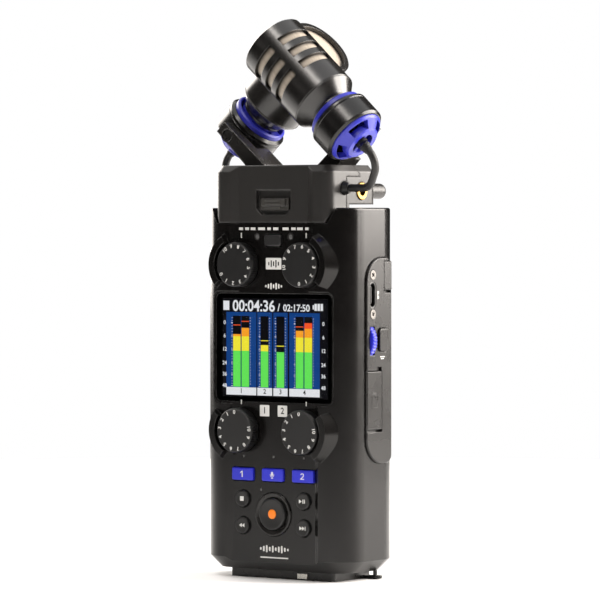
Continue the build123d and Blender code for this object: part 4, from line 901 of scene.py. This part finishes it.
# ------------------------------------------------------------------ latch grip and connector tongue
latch_low, latch_high = (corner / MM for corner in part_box("capsule_latch"))
latch_face = front(latch_low.y, (latch_low.x + latch_high.x) / 2, (latch_low.z + latch_high.z) / 2)
grip_width = 0.55 * (latch_high.x - latch_low.x)
join("latch_grip", [plate([box_loop(0, up, grip_width, 0.7, 0.2)], -0.2, 0.22, latch_face, 0.12)
                    for up in (-1.3, 0.0, 1.3)], "capsule_latch", latch_grey, 50)
usb_place = right(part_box("side_panel")[1].x / MM, SIDE_ROW_Y, USB_Z)
join("usb_tongue", [plate([box_loop(0, 0, 0.7, 6.2, 0.2)], -6.0, -0.9, usb_place)], "recorder",
     socket_black)

# ------------------------------------------------------------------ marks on the sides
right_face = right(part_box("side_panel")[1].x / MM)
# Three bars by the USB-C opening, and two below the side key.
side_marks = [box_loop(0.4, USB_Z, 0.35, 3.0), box_loop(0.9, 107.3, 0.3, 0.9),
              box_loop(0.9, 105.5, 0.3, 0.9), box_loop(3.3, 83.4, 2.8, 0.3),
              box_loop(3.3, 82.7, 1.8, 0.3)]
cover_middle = place_of("card_cover")
cover_face = right(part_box("card_cover")[1].x / MM, cover_middle.y, cover_middle.z)
# Outline of a plain memory card, with three contacts.
CARD = [(-1.9, -2.8), (1.9, -2.8), (1.9, 2.8), (-0.7, 2.8), (-1.9, 1.6)]
card_mark = [CARD, [(x * 0.8, y * 0.86) for x, y in CARD],
             *[box_loop(x, 1.3, 0.3, 1.3) for x in (-0.5, 0.2, 0.9)]]
join("card_mark", [plate(card_mark, -0.06, 0.07, cover_face)], "card_cover", panel_black)
join("side_prints", [plate(side_marks, -0.02, 0.02, right_face)], "recorder", white_ink)

# ------------------------------------------------------------------ stage, lights, camera
bpy.context.scene.view_settings.view_transform = "Standard"


def area_light(name, place, target, size, power, tint):
    """Softbox that faces a target."""
    lamp = bpy.data.lights.new(name, "AREA")
    lamp.shape = "RECTANGLE"
    lamp.size, lamp.size_y = size
    lamp.energy = power
    lamp.color = tint
    thing = add_object(name, lamp)
    thing.location = place
    thing.rotation_euler = (Vector(target) - Vector(place)).to_track_quat("-Z", "Y").to_euler()


def build_stage():
    """Pale round floor. The surround is white to camera rays and dim to all others."""
    mesh = bpy.data.meshes.new("floor")
    reach, rim = 0.75, 96
    mesh.from_pydata([(reach * cos(2 * pi * i / rim), reach * sin(2 * pi * i / rim), 0)
                      for i in range(rim)], [], [tuple(range(rim))])
    floor = add_object("floor", mesh)
    n = Nodes("floor_white")
    n.set(Base__Color=n.mix(n.noise(3.0, 2.0), grey(0.90), grey(0.93)))
    n.shader.inputs["Roughness"].default_value = 0.7
    n.shader.inputs["Specular IOR Level"].default_value = 0.1
    paint(floor, n.material)
    world = bpy.data.worlds.new("studio")
    world.use_nodes = True
    tree = world.node_tree
    surround = tree.nodes["Background"]
    surround.inputs["Color"].default_value = grey(1.0)
    rays = tree.nodes.new("ShaderNodeLightPath")
    level = tree.nodes.new("ShaderNodeMapRange")
    level.inputs["To Min"].default_value = 0.012
    level.inputs["To Max"].default_value = 1.0
    tree.links.new(rays.outputs["Is Camera Ray"], level.inputs["Value"])
    tree.links.new(level.outputs["Result"], surround.inputs["Strength"])
    bpy.context.scene.world = world


def build_lights():
    """Soft warm lights from both sides, and a plain one overhead."""
    high = cad_box[1][2]
    target = (0, 0, 0.5 * high)
    warm = (1.0, 0.94, 0.88)
    area_light("right_rear", (0.66, 0.75, 0.52), target, (0.60, 0.85), 26.0, warm)
    area_light("right_flank", (0.92, 0.43, 0.50), target, (0.24, 0.8), 12.0, warm)
    area_light("left", (-1.15, 0.40, 0.55), target, (0.9, 1.0), 24.0, warm)
    area_light("front_left", (-0.9, -1.35, 0.95), target, (0.8, 0.9), 1.2, warm)
    area_light("strip_high", (0.20, -0.80, 1.20), (0, 0, 0.8 * high), (0.12, 0.9), 7.0, warm)
    area_light("overhead", (0.0, 0.1, 1.5), (0, 0, 0), (2.2, 2.2), 20.0, (1.0, 1.0, 1.0))


def build_camera():
    """Long lens, a little above the middle of the recorder and to its right."""
    azimuth = radians(36.5)
    distance = 1.5
    aim = Vector((-0.0002, 0, 0.1041))
    height = 0.0292
    data = bpy.data.cameras.new("camera")
    data.sensor_width = 36.0
    data.lens = 239.4
    data.clip_start = 0.05
    data.clip_end = 100.0
    camera = add_object("camera", data)
    camera.location = aim + Vector((distance * sin(azimuth), -distance * cos(azimuth), height))
    camera.rotation_euler = (aim - camera.location).to_track_quat("-Z", "Y").to_euler()
    bpy.context.scene.camera = camera


build_stage()
build_lights()
build_camera()
